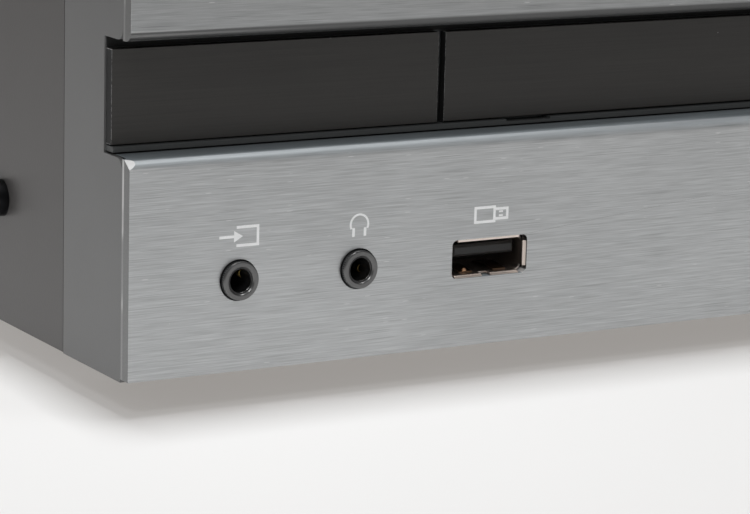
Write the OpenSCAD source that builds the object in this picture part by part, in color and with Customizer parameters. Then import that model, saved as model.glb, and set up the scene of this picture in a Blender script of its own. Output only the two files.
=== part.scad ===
// Micro hi-fi receiver with a disc drawer: bezel, two metal fascia plates, dark strip with a tray door,
// steel case, boards, rear terminals and a belt-driven tray loader with its optical deck.
// Modules draw in a case frame: x from the left side, y from the fascia's front, z from the fascia's foot.

/* [Case] */
// Width of the case
case_w = 205; // [198:1:225]
// Height of the case without its feet
case_h = 100.5; // [97:0.5:115]
// Depth from the fascia's front to the back of the rear panel
case_d = 262; // [256:1:290]
// Depth at which the bezel's sides end
bezel_d = 22.2; // [21:0.1:25]
// Wall thickness of the bezel
bezel_wall = 2.2; // [1.8:0.1:2.6]
// Thickness of the steel sheet
sheet_t = 1; // [0.8:0.1:1.3]
// Open width of the seam between bezel and cover
seam = 0.8; // [0.4:0.1:1.2]
// How far the cover's sides lie inside the bezel's sides
cover_inset = 0.3; // [0.1:0.1:0.6]
// Outer bend radius along the cover's top edges
cover_bend_r = 2.5; // [1.5:0.1:4]
// Height of a foot's moulding
foot_h = 4; // [3:0.5:8]
// Diameter of a foot
foot_d = 22; // [16:1:30]
// Thickness of the pad under a foot
pad_h = 1; // [0.5:0.1:2]

/* [Fascia] */
// Thickness of the metal fascia plates
plate_t = 2.6; // [2:0.1:3.2]
// Thickness of the flange turned back at the strip
flange_t = 1.4; // [1:0.1:1.8]
// Depth of that flange from the fascia's front
flange_d = 6.4; // [5.4:0.1:6.6]
// Radius of the rounded plate edges along the strip
edge_r = 1.7; // [0.8:0.1:2.2]
// Bezel left showing above and below the plates
plate_margin = 0.5; // [0.3:0.1:1]
// Height of the lower plate
lower_h = 32.2; // [31:0.1:36]
// Height of the open strip between the plates
strip_h = 16.9; // [16.5:0.1:19]

/* [Strip] */
// Depth of the strip's back wall from the fascia's front
recess_d = 8.6; // [8.4:0.1:10]
// Height of the dark panel and of the tray door
panel_h = 13.8; // [13.2:0.1:14.2]
// Thickness of the dark panel
panel_t = 1.8; // [1.5:0.1:2.2]
// Gap between the dark panel and the tray door
panel_gap = 1.2; // [0.8:0.1:2]
// Height of the rail below the panels
rail_h = 0.8; // [0.6:0.1:0.9]
// Width of the notch in that rail
rail_notch_w = 8; // [5:0.5:12]

/* [Ports] */
// Distance of the first jack from the left side
jack_x = 17.7; // [14:0.1:22]
// Height of the ports above the fascia's foot
port_z = 13.5; // [12:0.1:16]
// Height of the jacks' bores above that line
jack_rise = 0.1; // [0:0.1:0.5]
// Distance between the two jacks
jack_pitch = 20; // [16:0.5:24]
// Distance from the second jack to the flat socket
usb_pitch = 23; // [18:0.5:28]
// Radius of a jack's bore
jack_bore_r = 1.8; // [1.7:0.05:1.9]
// Outer radius of a jack's bush
jack_bush_r = 2.9; // [2.7:0.05:3.2]
// Outer width of the flat socket's shell
usb_w = 13.1; // [12.8:0.1:13.6]
// Outer height of the flat socket's shell
usb_h = 5.7; // [5.5:0.1:6]

/* [Controls] */
// Diameter of the volume knob
knob_d = 40; // [30:1:44]
// How far the knob stands in front of the fascia
knob_proud = 14; // [10:0.5:20]
// Width of the display window
display_w = 92; // [70:1:100]
// Height of the display window
display_h = 20; // [16:1:24]
// Width of a transport button
key_w = 12; // [9:0.5:13]
// Height of a transport button
key_h = 5; // [4:0.2:6]
// Distance between transport buttons
key_pitch = 18; // [15:0.5:20]
// Diameter of the power button
power_d = 11; // [8:0.5:13]
// How far the buttons stand in front of the fascia
key_proud = 0.9; // [0.5:0.1:1.4]
// Travel of a button
key_travel = 0.6; // [0.3:0.1:0.8]

/* [Disc tray] */
// Width of the tray's rim beside the disc recess
tray_rim = 4.5; // [4:0.1:6]
// How far the tray door reaches past the tray on each side
door_side = 9.4; // [8:0.1:12]
// Diameter of the disc recess
disc_d = 121; // [120.5:0.1:122]
// Depth of the disc recess
disc_recess = 3; // [2.4:0.1:3.4]
// Width of the slot that clears the optical deck
slot_w = 34; // [32:0.5:38]
// How far the tray runs out
tray_travel = 124; // [110:1:124]

/* [Loader] */
// Gear module
gear_m = 1; // [0.9:0.05:1]
// Teeth of the pinions on the tray drive and on the belt pulley
pinion_n = 14; // [14:2:16]
// Teeth of the large drive gear
drive_n = 30; // [26:2:30]
// Teeth of the sled gear
sled_n = 16; // [14:2:18]
// Radius of the large pulley's groove
pulley_r = 10.8; // [9:0.1:12]
// Radius of the motor pulley's groove
motor_pulley_r = 3; // [2.5:0.1:3.5]
// Thickness of the square belt
belt_t = 1.2; // [1:0.1:1.4]
// Travel of the pickup sled
sled_travel = 34; // [30:0.5:34]

/* [Terminals] */
// How far the speaker levers reach behind the rear panel
terminal_proud = 12; // [10:0.5:16]
// Distance between speaker levers
lever_pitch = 12; // [11:0.5:14]
// Width of a speaker lever
lever_w = 9; // [7:0.5:9]

/* [Hidden] */
$fn = 64;

// Clearances: a close fit, a running fit on pins and shafts, and a loose gap between moving faces
fit = 0.15;
run = 0.05;
loose = 0.3;
over = 1;

// Case frame to part frame: centred, standing on the pads
stand_h = foot_h + pad_h + plate_margin;
mid_y = (case_d + terminal_proud - knob_proud) / 2;

// Heights of the case
z_bottom = -plate_margin;
z_top = case_h - plate_margin;
z_strip = lower_h;
z_upper = lower_h + strip_h;
z_floor = z_bottom + sheet_t;

// Cut corners of the lower plate: length along the edge, lean from level, and turn toward the side
facet_l = 1.2;
facet_lean = 38;
facet_turn = 30;
facet_tilt = atan(tan(facet_lean) * cos(facet_turn));

// Bezel
front_wall_t = 2.4;
y_wall = plate_t + front_wall_t;
frame_t = 2.2;
y_frame = recess_d + frame_t;
shelf_t = 1.8;
flange_inset = 0.8;
lip_d = 5;
lip_root = 4;
lip_t = 1.5;

// Cover and chassis
cover_x = cover_inset + sheet_t;
chassis_x = cover_x + fit;
cover_y = bezel_d + seam;
cover_z = z_top - cover_inset;
side_flange_h = 30;
y_rear = case_d - sheet_t;

// Screws of one size
screw_head_r = 2.9;
screw_head_h = 1.8;
screw_r = 1.45;
screw_l = 8;
screw_cross_w = 0.9;
screw_cross_l = 3.4;
screw_cross_d = 1;
side_screw_y = 45.8;
side_screw_rear = 30;
side_screw_ys = [side_screw_y, case_d - side_screw_rear];
side_screw_z = 19;
foot_side = 22;
foot_y = 45;
foot_rear = 30;
foot_xs = [foot_side, case_w - foot_side];
foot_ys = [foot_y, case_d - foot_rear];
peg_r = 2.5;
pad_inset = 2;
soft_r = 0.8;
rear_tab_w = 14;
rear_tab_h = 8.5;
rear_screw_x = 51;
rear_screw_side = 10;
rear_screw_drop = 4;
rear_screw_xs = [rear_screw_x, case_w - rear_screw_side];
rear_screw_z = z_floor + rear_tab_h - rear_screw_drop;

// Vent slots
vent_w = 3;
vent_end_r = 1.4;
vent_pitch = 9;
top_vent_n = 16;
top_vent_l = 34;
top_vent_rears = [105, 57];
top_vent_ys = [for (r = top_vent_rears) case_d - r];
rear_vent_n = 12;
rear_vent_h = 16;
rear_vent_drops = [40, 18];
rear_vent_zs = [for (d = rear_vent_drops) z_top - d];
floor_vent_n = 10;
floor_vent_l = 40;
floor_vent_y = 100;

// Strip: fixed panel on the left, tray door on the right
panel_side = 0.3;
panel_y = recess_d - panel_t;
panel_lift = 1;
rail_lift = 0.3;
rail_proud = 0.6;
rail_z = z_strip + rail_lift;
rail_y = panel_y - rail_proud;
z_panel = rail_z + panel_lift;
tray_w = disc_d + 2 * tray_rim;
door_t = panel_t - loose;
door_x1 = case_w - panel_side;
door_x0 = door_x1 - tray_w - 2 * door_side;
panel_w = door_x0 - panel_gap - panel_side;
rail_notch_side = 11;
rail_notch_x = door_x0 + rail_notch_side;
rail_notch_d = 0.35;

// Tray
tray_x = (door_x0 + door_x1) / 2;
tray_y = panel_y + door_t;
tray_lift = 3.5;
tray_z = z_panel + tray_lift;
tray_h = 5.5;
tray_land = 11.2;
disc_y = tray_y + tray_land + disc_d / 2;
drive_y = 30;
tray_tail = 4;
tray_end = drive_y + tray_travel + tray_tail;
rack_lead = 6;
z_tray_top = tray_z + tray_h;
z_disc = z_tray_top - disc_recess;
small_disc_d = 82;
small_recess = 1;
slot_lead = 3;
scoop_r = 9;
scoop_x = 50;
scoop_lead = 14;
scoop_y = tray_y + scoop_lead;
mouth_gap = 0.6;

// Loader frame
loader_gap = 0.4;
loader_wall = 3;
loader_floor_t = 2;
loader_y = 12;
loader_tail = 7;
loader_end = tray_end + loader_tail;
loader_drop = 12.5;
z_loader = tray_z - loader_drop;
z_gear_deck = z_loader + loader_floor_t;
loader_x = tray_w / 2 + loader_gap;
guide_w = 3.6;
guide_t = 1.8;
guide_gap = 0.2;
keeper_w = 2;
keeper_t = 1.5;
keeper_l = 30;
leg_r = 4;
leg_inset = 0.5;
leg_front = 24;
leg_rear = 8;
leg_xs = [tray_x - loader_x + leg_inset, tray_x + loader_x - leg_inset];
leg_ys = [loader_y + leg_front, loader_end - leg_rear];

// Tooth form: stub teeth with a 25 degree pressure angle
pressure = 25;
addendum = 0.8;
dedendum = 1.1;
backlash = 0.15;
flank_steps = 5;
pinion_r = gear_m * pinion_n / 2;
drive_r = gear_m * drive_n / 2;
sled_r = gear_m * sled_n / 2;

// Tray drive, from the tray's rack down to the motor
rack_side = 53.3;
rack_x = tray_x - rack_side;
rack_bar = 2.9;
rack_h = 2.5;
drive_x = rack_x + pinion_r;
pulley_x = drive_x + drive_r + pinion_r;
motor_reach = 28;
motor_x = pulley_x + motor_reach;
post_r = 1.5;
gear_h = 3;
gear_hub_r = 3;
z_drive = tray_z - rack_h - loose - gear_h;
pulley_lift = 0.8;
z_pulley = z_gear_deck + pulley_lift;
pulley_h = 3.4;
pulley_hub_r = 4;
groove_w = 1.8;
pulley_lip = 1.2;
motor_r = 10;
motor_h = 14;
motor_shaft_r = 1;
shaft_depth = 3;

// Optical deck and its hinge
deck_w = 88;
deck_t = 2;
deck_lead = 24;
deck_tail = 1;
deck_drop = 9;
deck_y = disc_y - deck_lead;
deck_end = tray_end + deck_tail;
z_deck = tray_z - deck_drop;
hinge_lead = 2;
hinge_y = tray_end - hinge_lead;
hinge_z = z_deck + deck_t / 2;
hinge_r = 2;
deck_gap = 1.5;
ear_w = 5;

// Turntable, sled and rods
table_r = 14.5;
table_h = 1.8;
table_drop = 0.6;
z_table = z_disc - table_drop;
hub_r = 7.4;
hub_taper = 1;
hub_h = 1.6;
spindle_r = 12;
spindle_h = 7.5;
rod_r = 1.5;
rod_side = 16;
rod_lift = 3.2;
rod_height = z_deck + deck_t + rod_lift;
sled_gap = 1;
sled_lead = 14;
sled_y = disc_y + sled_lead;
sled_l = 20;
sled_lift = 1.2;
sled_z = z_deck + deck_t + sled_lift;
sled_h = 4.4;
sled_half_w = 20;
pickup_half_w = 12;
pickup_drop = 6;
lens_block_w = 12;
lens_r = 3.5;
sled_rack_bar = 3.9;
sled_rack_x = tray_x - sled_half_w - sled_rack_bar - dedendum * gear_m;
sled_rack_h = 2;
sled_rack_lead = 20;
sled_gear_x = sled_rack_x - sled_r;
sled_gear_lead = 18;
sled_gear_y = sled_y + sled_gear_lead;
sled_motor_r = 7.5;
sled_motor_h = 15;
bracket_w = 6;
bracket_l = 4;
bracket_ys = [sled_y - sled_gap - bracket_l, sled_y + sled_l + sled_travel + sled_gap];

// Clamp over the disc
bridge_t = 2;
bridge_l = 28;
bridge_lift = 4.4;
z_bridge = z_tray_top + bridge_lift;
clamp_hole_r = 10.5;
clamp_gap = 0.7;
clamp_r = 14;
clamp_rim_r = 13;
clamp_rim_h = 1.4;

// Controls on the upper plate
display_x = 28;
display_top = 7.9;
display_z = z_top - display_top - display_h;
display_mid = [display_x + display_w / 2, display_z + display_h / 2];
display_r = 2;
display_sink = 0.4;
window_flange = 2;
window_flange_t = 1.6;
key_side = 4;
key_lift = 0.5;
key_x = display_x + key_w / 2 + key_side;
key_z = (z_upper + display_z) / 2 + key_lift;
key_n = 5;
key_r = 0.9;
key_flange = 1;
key_flange_t = 1.2;
stem_r = 1.5;
power_x = 15;
power_z = display_mid[1];
knob_side = 39;
knob_x = case_w - knob_side;
knob_z = (z_upper + z_top) / 2;
knob_face_t = 3;
knob_rim_t = 2.5;
knob_boss_t = 3;
shaft_r = 3;
encoder_bush_r = 4.5;
encoder_w = 13;
encoder_d = 6;

// Front board on its bosses
board_gap = 8;
board_y = y_wall + board_gap;
board_t = 1.6;
board_side = 7;
switch_w = 6;
switch_h = 3.5;
boss_r = 3.2;
boss_side = 10;
boss_low = 6.5;
boss_high = 7;
boss_xs = [boss_side, case_w - boss_side];
boss_zs = [z_upper + boss_low, z_top - boss_high];

// Ports
jack_proud = 0.7;
jack_body = 10;
jack_end_t = 1.5;
jack_y = y_wall + fit;
jack_z = port_z + jack_rise;
jack_gap = 0.2;
usb_x = jack_x + jack_pitch + usb_pitch;
usb_t = 0.3;
usb_y = 1.6;
usb_d = 13.3;
usb_r = 0.9;
usb_leg_l = 2;
tongue_w = 11;
tongue_t = 1.8;
tongue_drop = 0.8;
tongue_back = 4;
tongue_sink = 0.3;
tongue_bevel = 0.4;
tongue_foot_l = 2;
port_board_side = 5;
port_board_z = port_z - jack_body / 2;
port_board_x0 = jack_x - jack_body / 2 - port_board_side;
port_board_x1 = usb_x + usb_w / 2 + port_board_side;
rib_w = 4;
rib_t = 1.2;

// Boards on the chassis
board_lift = 2.5;
z_board = z_floor + board_lift;
z_board_top = z_board + board_t;
post_big_r = 3;
post_inset = 6;
main_left = 56;
main_right = 58;
main_x0 = tray_x - main_left;
main_x1 = tray_x + main_right;
main_y = 48;
main_rear = 11;
main_end = y_rear - main_rear;
main_post_rear = 34;
main_post_end = main_end - main_post_rear;
power_side = 72;
power_x0 = 6;
power_x1 = tray_x - power_side;
power_mid = (power_x0 + power_x1) / 2;
power_y = 40;
power_end = 150;

// Parts on the boards: corner on the main board, then length along x, y and z
chips = [[20, 22, [22, 22, 2]], [60, 12, [14, 14, 2]], [20, 132, [30, 20, 3]], [70, 142, [30, 6, 8]]];
cap_n = 2;
cap_r = 6.5;
cap_h = 30;
cap_pitch = 15;
cap_rear = 16;
core_w = 28;
core_l = 44;
core_h = 8;
core_lead = 22;
core_y = power_y + core_lead;
coil_inset = 3;
coil_h = 20;
sink_x = 8;
sink_rear = 65;
sink_y = y_rear - sink_rear;
sink_w = 40;
sink_h = 66;
sink_base_t = 5;
fin_n = 9;
fin_t = 1.8;
fin_l = 21;
ribbon_w = 24;
ribbon_t = 0.5;
ribbon_run = 14;
ribbon_lift = 4;

// Rear terminals
rca_side = 20;
rca_low = 8;
rca_pitch = 14;
rca_x = main_x0 + rca_side;
rca_zs = [z_board_top + rca_low, z_board_top + rca_low + rca_pitch];
rca_r = 4.15;
rca_shell_t = 0.9;
rca_bore_r = 1.6;
rca_bore_l = 10;
rca_proud = 9;
rca_hole_gap = 1.2;
rca_w = 18;
rca_seat = 6;
lever_n = 4;
speaker_side = 64;
speaker_rim = 2;
speaker_x = main_x0 + speaker_side;
speaker_w = lever_n * lever_pitch + 2 * speaker_rim;
speaker_z = 7;
speaker_h = 28;
speaker_mid_z = speaker_z + speaker_h / 2;
speaker_proud = 8;
speaker_deep = 12;
pocket_floor = 1.5;
pocket_low = 5;
pocket_high = 24;
wire_w = 3.2;
wire_low = 8;
wire_z = speaker_z + wire_low;
wire_l = 8.5;
lever_out = 4.5;
lever_up = 18.75;
lever_y = case_d + lever_out;
lever_z = speaker_z + lever_up;
lever_t = 3.5;
lever_heel = 1.7;
lever_pin_r = 1.2;
lever_pin_l = 0.9;
inlet_x = 27;
inlet_z = 20;
inlet_w = 16.4;
inlet_h = 8.4;
inlet_d = 12;
inlet_body = [20, 13];
inlet_rim = [26, 17];
inlet_rim_t = 2.5;
inlet_back = 4;
pin_pitch = 8.6;
pin_r = 1.2;
pin_sink = 2;
tuner_side = 12;
tuner_x = main_x1 - tuner_side;
tuner_w = 20;
tuner_l = 26;
tuner_h = 17;
tuner_z = z_board_top + tuner_h / 2;
antenna_r = 4.75;
antenna_gap = 0.4;
antenna_proud = 9;
antenna_bore_r = 0.6;

// Basic shapes, each between two corners or along one axis

module block(a, b) {
    translate(a) cube(b - a);
}

module rod_x(x0, x1, y, z, r) {
    translate([x0, y, z]) rotate([0, 90, 0]) cylinder(h = x1 - x0, r = r);
}

module rod_y(x, y0, y1, z, r) {
    translate([x, y0, z]) rotate([-90, 0, 0]) cylinder(h = y1 - y0, r = r);
}

module rod_z(x, y, z0, z1, r) {
    translate([x, y, z0]) cylinder(h = z1 - z0, r = r);
}

// Block on one side of a mid plane at x: side is 1 or -1, and near and far are distances from that plane
module side_block(x, side, near, far, y0, y1, z0, z1) {
    x0 = side > 0 ? x + near : x - far;
    block([x0, y0, z0], [x0 + far - near, y1, z1]);
}

// Rectangle about its centre with round corners
module soft_rect(w, h, r) {
    square([w - 2 * r, h], center = true);
    square([w, h - 2 * r], center = true);
    for (sx = [-1, 1], sz = [-1, 1]) translate([sx * (w / 2 - r), sz * (h / 2 - r)]) circle(r);
}

// Round-cornered slab facing the front, between two depths
module front_slab(x, z, w, h, r, y0, y1) {
    translate([x, y1, z]) rotate([90, 0, 0]) linear_extrude(y1 - y0) soft_rect(w, h, r);
}

// Side profile drawn in y and z, run from x0 to x1
module side_run(x0, x1) {
    translate([x0, 0, 0]) rotate([90, 0, 90]) linear_extrude(x1 - x0) children();
}

// Cut that rounds a front edge on the side profile: side is 1 for an upper edge and -1 for a lower one
module edge_round(y, z, side) {
    translate([y, z]) mirror([0, side > 0 ? 0 : 1]) difference() {
        translate([-over, -edge_r]) square(edge_r + over);
        translate([edge_r, -edge_r]) circle(edge_r);
        translate([edge_r, -edge_r - over]) square([over, edge_r + 2 * over]);
    }
}

// Cut that takes off the lower plate's upper left corner, and runs out along its rounded edge
module corner_cut() {
    translate([facet_l, edge_r * (1 - sin(facet_tilt)), z_strip - edge_r * (1 - cos(facet_tilt))])
        rotate([facet_lean, 0, -facet_turn])
            translate([-2 * facet_l, -2 * facet_l, 0]) cube(4 * facet_l);
}

// Slot with round ends, cut through a level sheet
module level_slot(x, y, l, z0, z1) {
    block([x - vent_w / 2, y, z0], [x + vent_w / 2, y + l, z1]);
    for (e = [0, l]) rod_z(x, y + e, z0, z1, vent_w / 2);
}

// Cross-head screw with its head's underside at a point and its shank along the turned +z axis
module screw(at, turn) {
    cross = [screw_cross_l, screw_cross_w, 2 * screw_cross_d];
    translate(at) rotate(turn) {
        difference() {
            translate([0, 0, -screw_head_h]) cylinder(h = screw_head_h, r = screw_head_r);
            for (a = [0, 90]) translate([0, 0, -screw_head_h]) rotate(a) cube(cross, center = true);
        }
        cylinder(h = screw_l, r = screw_r);
    }
}

// Gears

function involute(a) = tan(a) * 180 / PI - a;

function tooth_half(r, n) =
    let (rp = gear_m * n / 2, rb = rp * cos(pressure), a = r <= rb ? 0 : acos(rb / r))
    90 / n - backlash / (2 * rp) * 180 / PI + involute(pressure) - involute(a);

function flank_radii(n) =
    let (rp = gear_m * n / 2, r0 = rp - dedendum * gear_m, r1 = rp + addendum * gear_m)
    [for (i = [0:flank_steps]) r0 + (r1 - r0) * i / flank_steps];

function tooth_points(n, k) =
    let (radii = flank_radii(n), mid = 360 * k / n)
    concat(
        [for (r = radii) let (a = mid - tooth_half(r, n)) r * [cos(a), sin(a)]],
        [for (i = [flank_steps:-1:0]) let (r = radii[i], a = mid + tooth_half(r, n)) r * [cos(a), sin(a)]]
    );

module gear(n, h) {
    linear_extrude(h) polygon([for (k = [0:n - 1], p = tooth_points(n, k)) p]);
}

// Rack along +y with its pitch line at x = 0, teeth towards +x, and a gap centred on y = 0
function rack_points(y0, y1, bar) =
    let (
        pitch = PI * gear_m,
        half = (pitch / 2 - backlash) / 2,
        tip_x = addendum * gear_m,
        root_x = -dedendum * gear_m,
        tip = half - tip_x * tan(pressure),
        root = half - root_x * tan(pressure),
        first = ceil((y0 + root) / pitch - 0.5),
        last = floor((y1 - root) / pitch - 0.5)
    )
    concat(
        [[root_x - bar, y0], [root_x, y0]],
        [for (k = [first:last], p = [[root_x, -root], [tip_x, -tip], [tip_x, tip], [root_x, root]])
            p + [0, (k + 0.5) * pitch]],
        [[root_x, y1], [root_x - bar, y1]]
    );

module rack(y0, y1, bar, h) {
    linear_extrude(h) polygon(rack_points(y0, y1, bar));
}

// Outline round two circles of radii a and b, a distance apart along x
module belt_outline(a, b, apart) {
    f = acos((a - b) / apart);
    circle(a);
    translate([apart, 0]) circle(b);
    polygon([
        a * [cos(f), sin(f)],
        a * [cos(f), -sin(f)],
        [apart + b * cos(f), -b * sin(f)],
        [apart + b * cos(f), b * sin(f)]
    ]);
}

module grooved_pulley(groove) {
    rim = groove + pulley_lip;
    low = (pulley_h - groove_w) / 2;
    high = (pulley_h + groove_w) / 2;
    rotate_extrude() polygon([
        [0, 0], [rim, 0], [rim, low], [groove, low],
        [groove, high], [rim, high], [rim, pulley_h], [0, pulley_h]
    ]);
}

// Motor can hanging below a plate, with a bore for its shaft
module motor_can(x, y, z, r, h) {
    difference() {
        rod_z(x, y, z - h, z, r);
        rod_z(x, y, z - shaft_depth - 2 * loose, z + over, motor_shaft_r + run);
    }
}

module motor_shaft(x, y, z, top) {
    rod_z(x, y, z - shaft_depth, top, motor_shaft_r);
}

// Bezel: a moulding with a notch across its front for the dark strip

module bezel_profile() {
    difference() {
        translate([plate_t, z_bottom]) square([bezel_d - plate_t, case_h]);
        translate([0, z_strip]) square([recess_d, strip_h]);
        edge_round(plate_t, z_strip, 1);
        edge_round(plate_t, z_upper, -1);
    }
}

module bezel_hollow() {
    x1 = case_w - bezel_wall;
    y1 = bezel_d + over;
    shelf = flange_t + shelf_t;
    block([bezel_wall, y_wall, z_bottom + bezel_wall], [x1, y1, z_strip - shelf]);
    block([bezel_wall, y_wall, z_upper + shelf], [x1, y1, z_top - bezel_wall]);
    block([bezel_wall, y_frame, z_bottom + bezel_wall], [x1, y1, z_top - bezel_wall]);
    block([bezel_wall, 0, z_strip], [x1, y1, z_upper]);
}

module flange_pockets() {
    x0 = flange_inset - fit;
    y1 = flange_d + fit;
    block([x0, 0, z_strip - flange_t - fit], [case_w - x0, y1, z_strip + over]);
    block([x0, 0, z_upper - over], [case_w - x0, y1, z_upper + flange_t + fit]);
}

// Outline of the cover's section, drawn inside its outer face by a distance
module cover_outline(inside) {
    w = case_w - 2 * cover_inset - 2 * inside;
    h = cover_z - z_bottom - inside;
    r = cover_bend_r - inside;
    translate([-w / 2, 0]) square([w, h - r]);
    translate([r - w / 2, 0]) square([w - 2 * r, h]);
    for (s = [-1, 1]) translate([s * (w / 2 - r), h - r]) circle(r);
}

// Section of the case run between two depths
module case_run(y0, y1) {
    translate([case_w / 2, y1, z_bottom]) rotate([90, 0, 0]) linear_extrude(y1 - y0) children();
}

// Rear lip that the cover slips over
module bezel_lip() {
    x = chassis_x + lip_t;
    z0 = z_floor + fit;
    z1 = cover_z - sheet_t - fit - lip_t;
    y1 = bezel_d + 2 * lip_d;
    difference() {
        case_run(bezel_d - lip_root, bezel_d + lip_d) cover_outline(sheet_t + fit);
        block([0, 0, z_bottom - over], [case_w, y1, z0]);
        block([x, 0, z0 + lip_t], [case_w - x, y1, z1]);
    }
}

// Bosses for the front board and ribs under the port board
module bezel_bosses() {
    for (x = boss_xs, z = boss_zs) rod_y(x, y_wall - over, board_y, z, boss_r);
    z1 = port_board_z - board_t;
    for (x = [port_board_x0, port_board_x1 - rib_w])
        block([x, y_wall - over, z1 - rib_t], [x + rib_w, bezel_d, z1]);
}

module front_openings(window_grow, y0, y1) {
    front_slab(display_mid[0], display_mid[1], display_w + 2 * window_grow, display_h + 2 * window_grow,
        display_r, y0, y1);
    for (i = [0:key_n - 1])
        front_slab(key_x + i * key_pitch, key_z, key_w + 2 * fit, key_h + 2 * fit, key_r + fit, y0, y1);
    rod_y(power_x, y0, y1, power_z, power_d / 2 + fit);
    rod_y(knob_x, y0, y1, knob_z, encoder_bush_r + fit);
}

module port_openings(grow, y0, y1) {
    for (i = [0, 1]) rod_y(jack_x + i * jack_pitch, y0, y1, jack_z, jack_bush_r + jack_gap + grow);
    front_slab(usb_x, port_z, usb_w + 2 * fit + 2 * grow, usb_h + 2 * fit + 2 * grow, usb_r, y0, y1);
}

module front_bezel() color("#747474") difference() {
    union() {
        difference() {
            side_run(0, case_w) bezel_profile();
            bezel_hollow();
            flange_pockets();
            front_openings(window_flange + fit, 0, y_wall + over);
            port_openings(fit, 0, y_wall + over);
        }
        bezel_lip();
        bezel_bosses();
    }
    for (x = boss_xs, z = boss_zs) rod_y(x, board_y - screw_l, board_y + over, z, screw_r + run);
}

// Fascia plates, each with a flange turned back along the strip

module fascia_flange(z) {
    block([flange_inset, plate_t, z], [case_w - flange_inset, flange_d, z + flange_t]);
}

module upper_fascia() color("#a9acae") difference() {
    union() {
        side_run(0, case_w) difference() {
            translate([0, z_upper]) square([plate_t, z_top - plate_margin - z_upper]);
            edge_round(0, z_upper, -1);
        }
        fascia_flange(z_upper);
    }
    front_openings(fit, -over, plate_t + over);
}

module lower_fascia() color("#a9acae") difference() {
    union() {
        side_run(0, case_w) difference() {
            square([plate_t, z_strip]);
            edge_round(0, z_strip, 1);
        }
        fascia_flange(z_strip - flange_t);
    }
    corner_cut();
    translate([case_w, 0, 0]) mirror([1, 0, 0]) corner_cut();
    port_openings(0, -over, plate_t + over);
}

// Dark strip between the plates

module strip_frame() color("#1c1c1c") difference() {
    side = bezel_wall + fit;
    union() {
        block([side, recess_d, z_strip + fit], [case_w - side, y_frame, z_upper - fit]);
        block([panel_side, rail_y, rail_z], [case_w - panel_side, recess_d, rail_z + rail_h]);
    }
    block([tray_x - tray_w / 2 - mouth_gap, recess_d - over, tray_z - rack_h - mouth_gap],
        [tray_x + tray_w / 2 + mouth_gap, y_frame + over, z_tray_top + mouth_gap]);
    block([rail_notch_x, rail_y - over, rail_z + rail_h - rail_notch_d],
        [rail_notch_x + rail_notch_w, recess_d, rail_z + rail_h + over]);
}

module strip_panel() color("#333230") block(
    [panel_side, panel_y, z_panel],
    [panel_side + panel_w, recess_d, z_panel + panel_h]
);

module tray_door() color("#333230") block(
    [door_x0, panel_y, z_panel],
    [door_x1, panel_y + door_t, z_panel + panel_h]
);

// Display and buttons

module display_window() color("#101214") {
    rim = 2 * window_flange;
    y1 = plate_t + window_flange_t;
    front_slab(display_mid[0], display_mid[1], display_w, display_h, display_r, display_sink, plate_t);
    front_slab(display_mid[0], display_mid[1], display_w + rim, display_h + rim, display_r, plate_t, y1);
}

module display_module() color("#2b3033") block(
    [display_x + window_flange, plate_t + window_flange_t + loose, display_z],
    [display_x + display_w - window_flange, board_y, display_z + display_h]
);

module tact_switch(x, z) {
    half_w = switch_w / 2;
    half_h = switch_w / 3;
    block([x - half_w, board_y - switch_h, z - half_h], [x + half_w, board_y, z + half_h]);
}

module front_board() color("#2f6b3c") {
    z0 = z_upper + flange_t + shelf_t + over;
    difference() {
        block([board_side, board_y, z0], [case_w - board_side, board_y + board_t, z_top - bezel_wall - over]);
        for (x = boss_xs, z = boss_zs) rod_y(x, board_y - over, board_y + board_t + over, z, screw_r + fit);
    }
    for (i = [0:key_n - 1]) tact_switch(key_x + i * key_pitch, key_z);
    tact_switch(power_x, power_z);
}

// Depths of a button: cap, flange behind the bezel's wall, stem short of the switch by its travel
key_ys = [-key_proud, y_wall + loose, y_wall + loose + key_flange_t, board_y - switch_h - key_travel - fit];

module transport_button(i) color("#b4b6b8") {
    x = key_x + i * key_pitch;
    front_slab(x, key_z, key_w, key_h, key_r, key_ys[0], key_ys[1]);
    front_slab(x, key_z, key_w + 2 * key_flange, key_h + 2 * key_flange, key_r, key_ys[1], key_ys[2]);
    rod_y(x, key_ys[2], key_ys[3], key_z, stem_r);
}

module power_button() color("#b4b6b8") {
    rod_y(power_x, key_ys[0], key_ys[1], power_z, power_d / 2);
    rod_y(power_x, key_ys[1], key_ys[2], power_z, power_d / 2 + key_flange);
    rod_y(power_x, key_ys[2], key_ys[3], power_z, stem_r);
}

// Volume control

module volume_knob() color("#b4b6b8") difference() {
    back = -knob_proud + knob_face_t;
    rod_y(knob_x, -knob_proud, -loose, knob_z, knob_d / 2);
    difference() {
        rod_y(knob_x, back, over, knob_z, knob_d / 2 - knob_rim_t);
        rod_y(knob_x, -knob_proud, 2 * over, knob_z, shaft_r + knob_boss_t);
    }
    rod_y(knob_x, back, over, knob_z, shaft_r + run);
}

module encoder_shaft() color("#c8c8c8") rod_y(
    knob_x, -knob_proud + knob_face_t + loose, board_y - 2 * loose - over, knob_z, shaft_r
);

module encoder_body() color("#3a3a3a") difference() {
    y0 = board_y - encoder_d;
    half = encoder_w / 2;
    union() {
        rod_y(knob_x, plate_t / 2, y0 + over, knob_z, encoder_bush_r);
        block([knob_x - half, y0, knob_z - half], [knob_x + half, board_y, knob_z + half]);
    }
    rod_y(knob_x, 0, board_y - over, knob_z, shaft_r + run);
}

// Ports behind the lower plate

module jack(i) color("#3b3b3b") difference() {
    x = jack_x + i * jack_pitch;
    half = jack_body / 2;
    union() {
        rod_y(x, -jack_proud, jack_y + over, jack_z, jack_bush_r);
        block([x - half, jack_y, port_z - half], [x + half, jack_y + jack_body, port_z + half]);
    }
    rod_y(x, -jack_proud - over, jack_y + jack_body - jack_end_t, jack_z, jack_bore_r);
}

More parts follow.
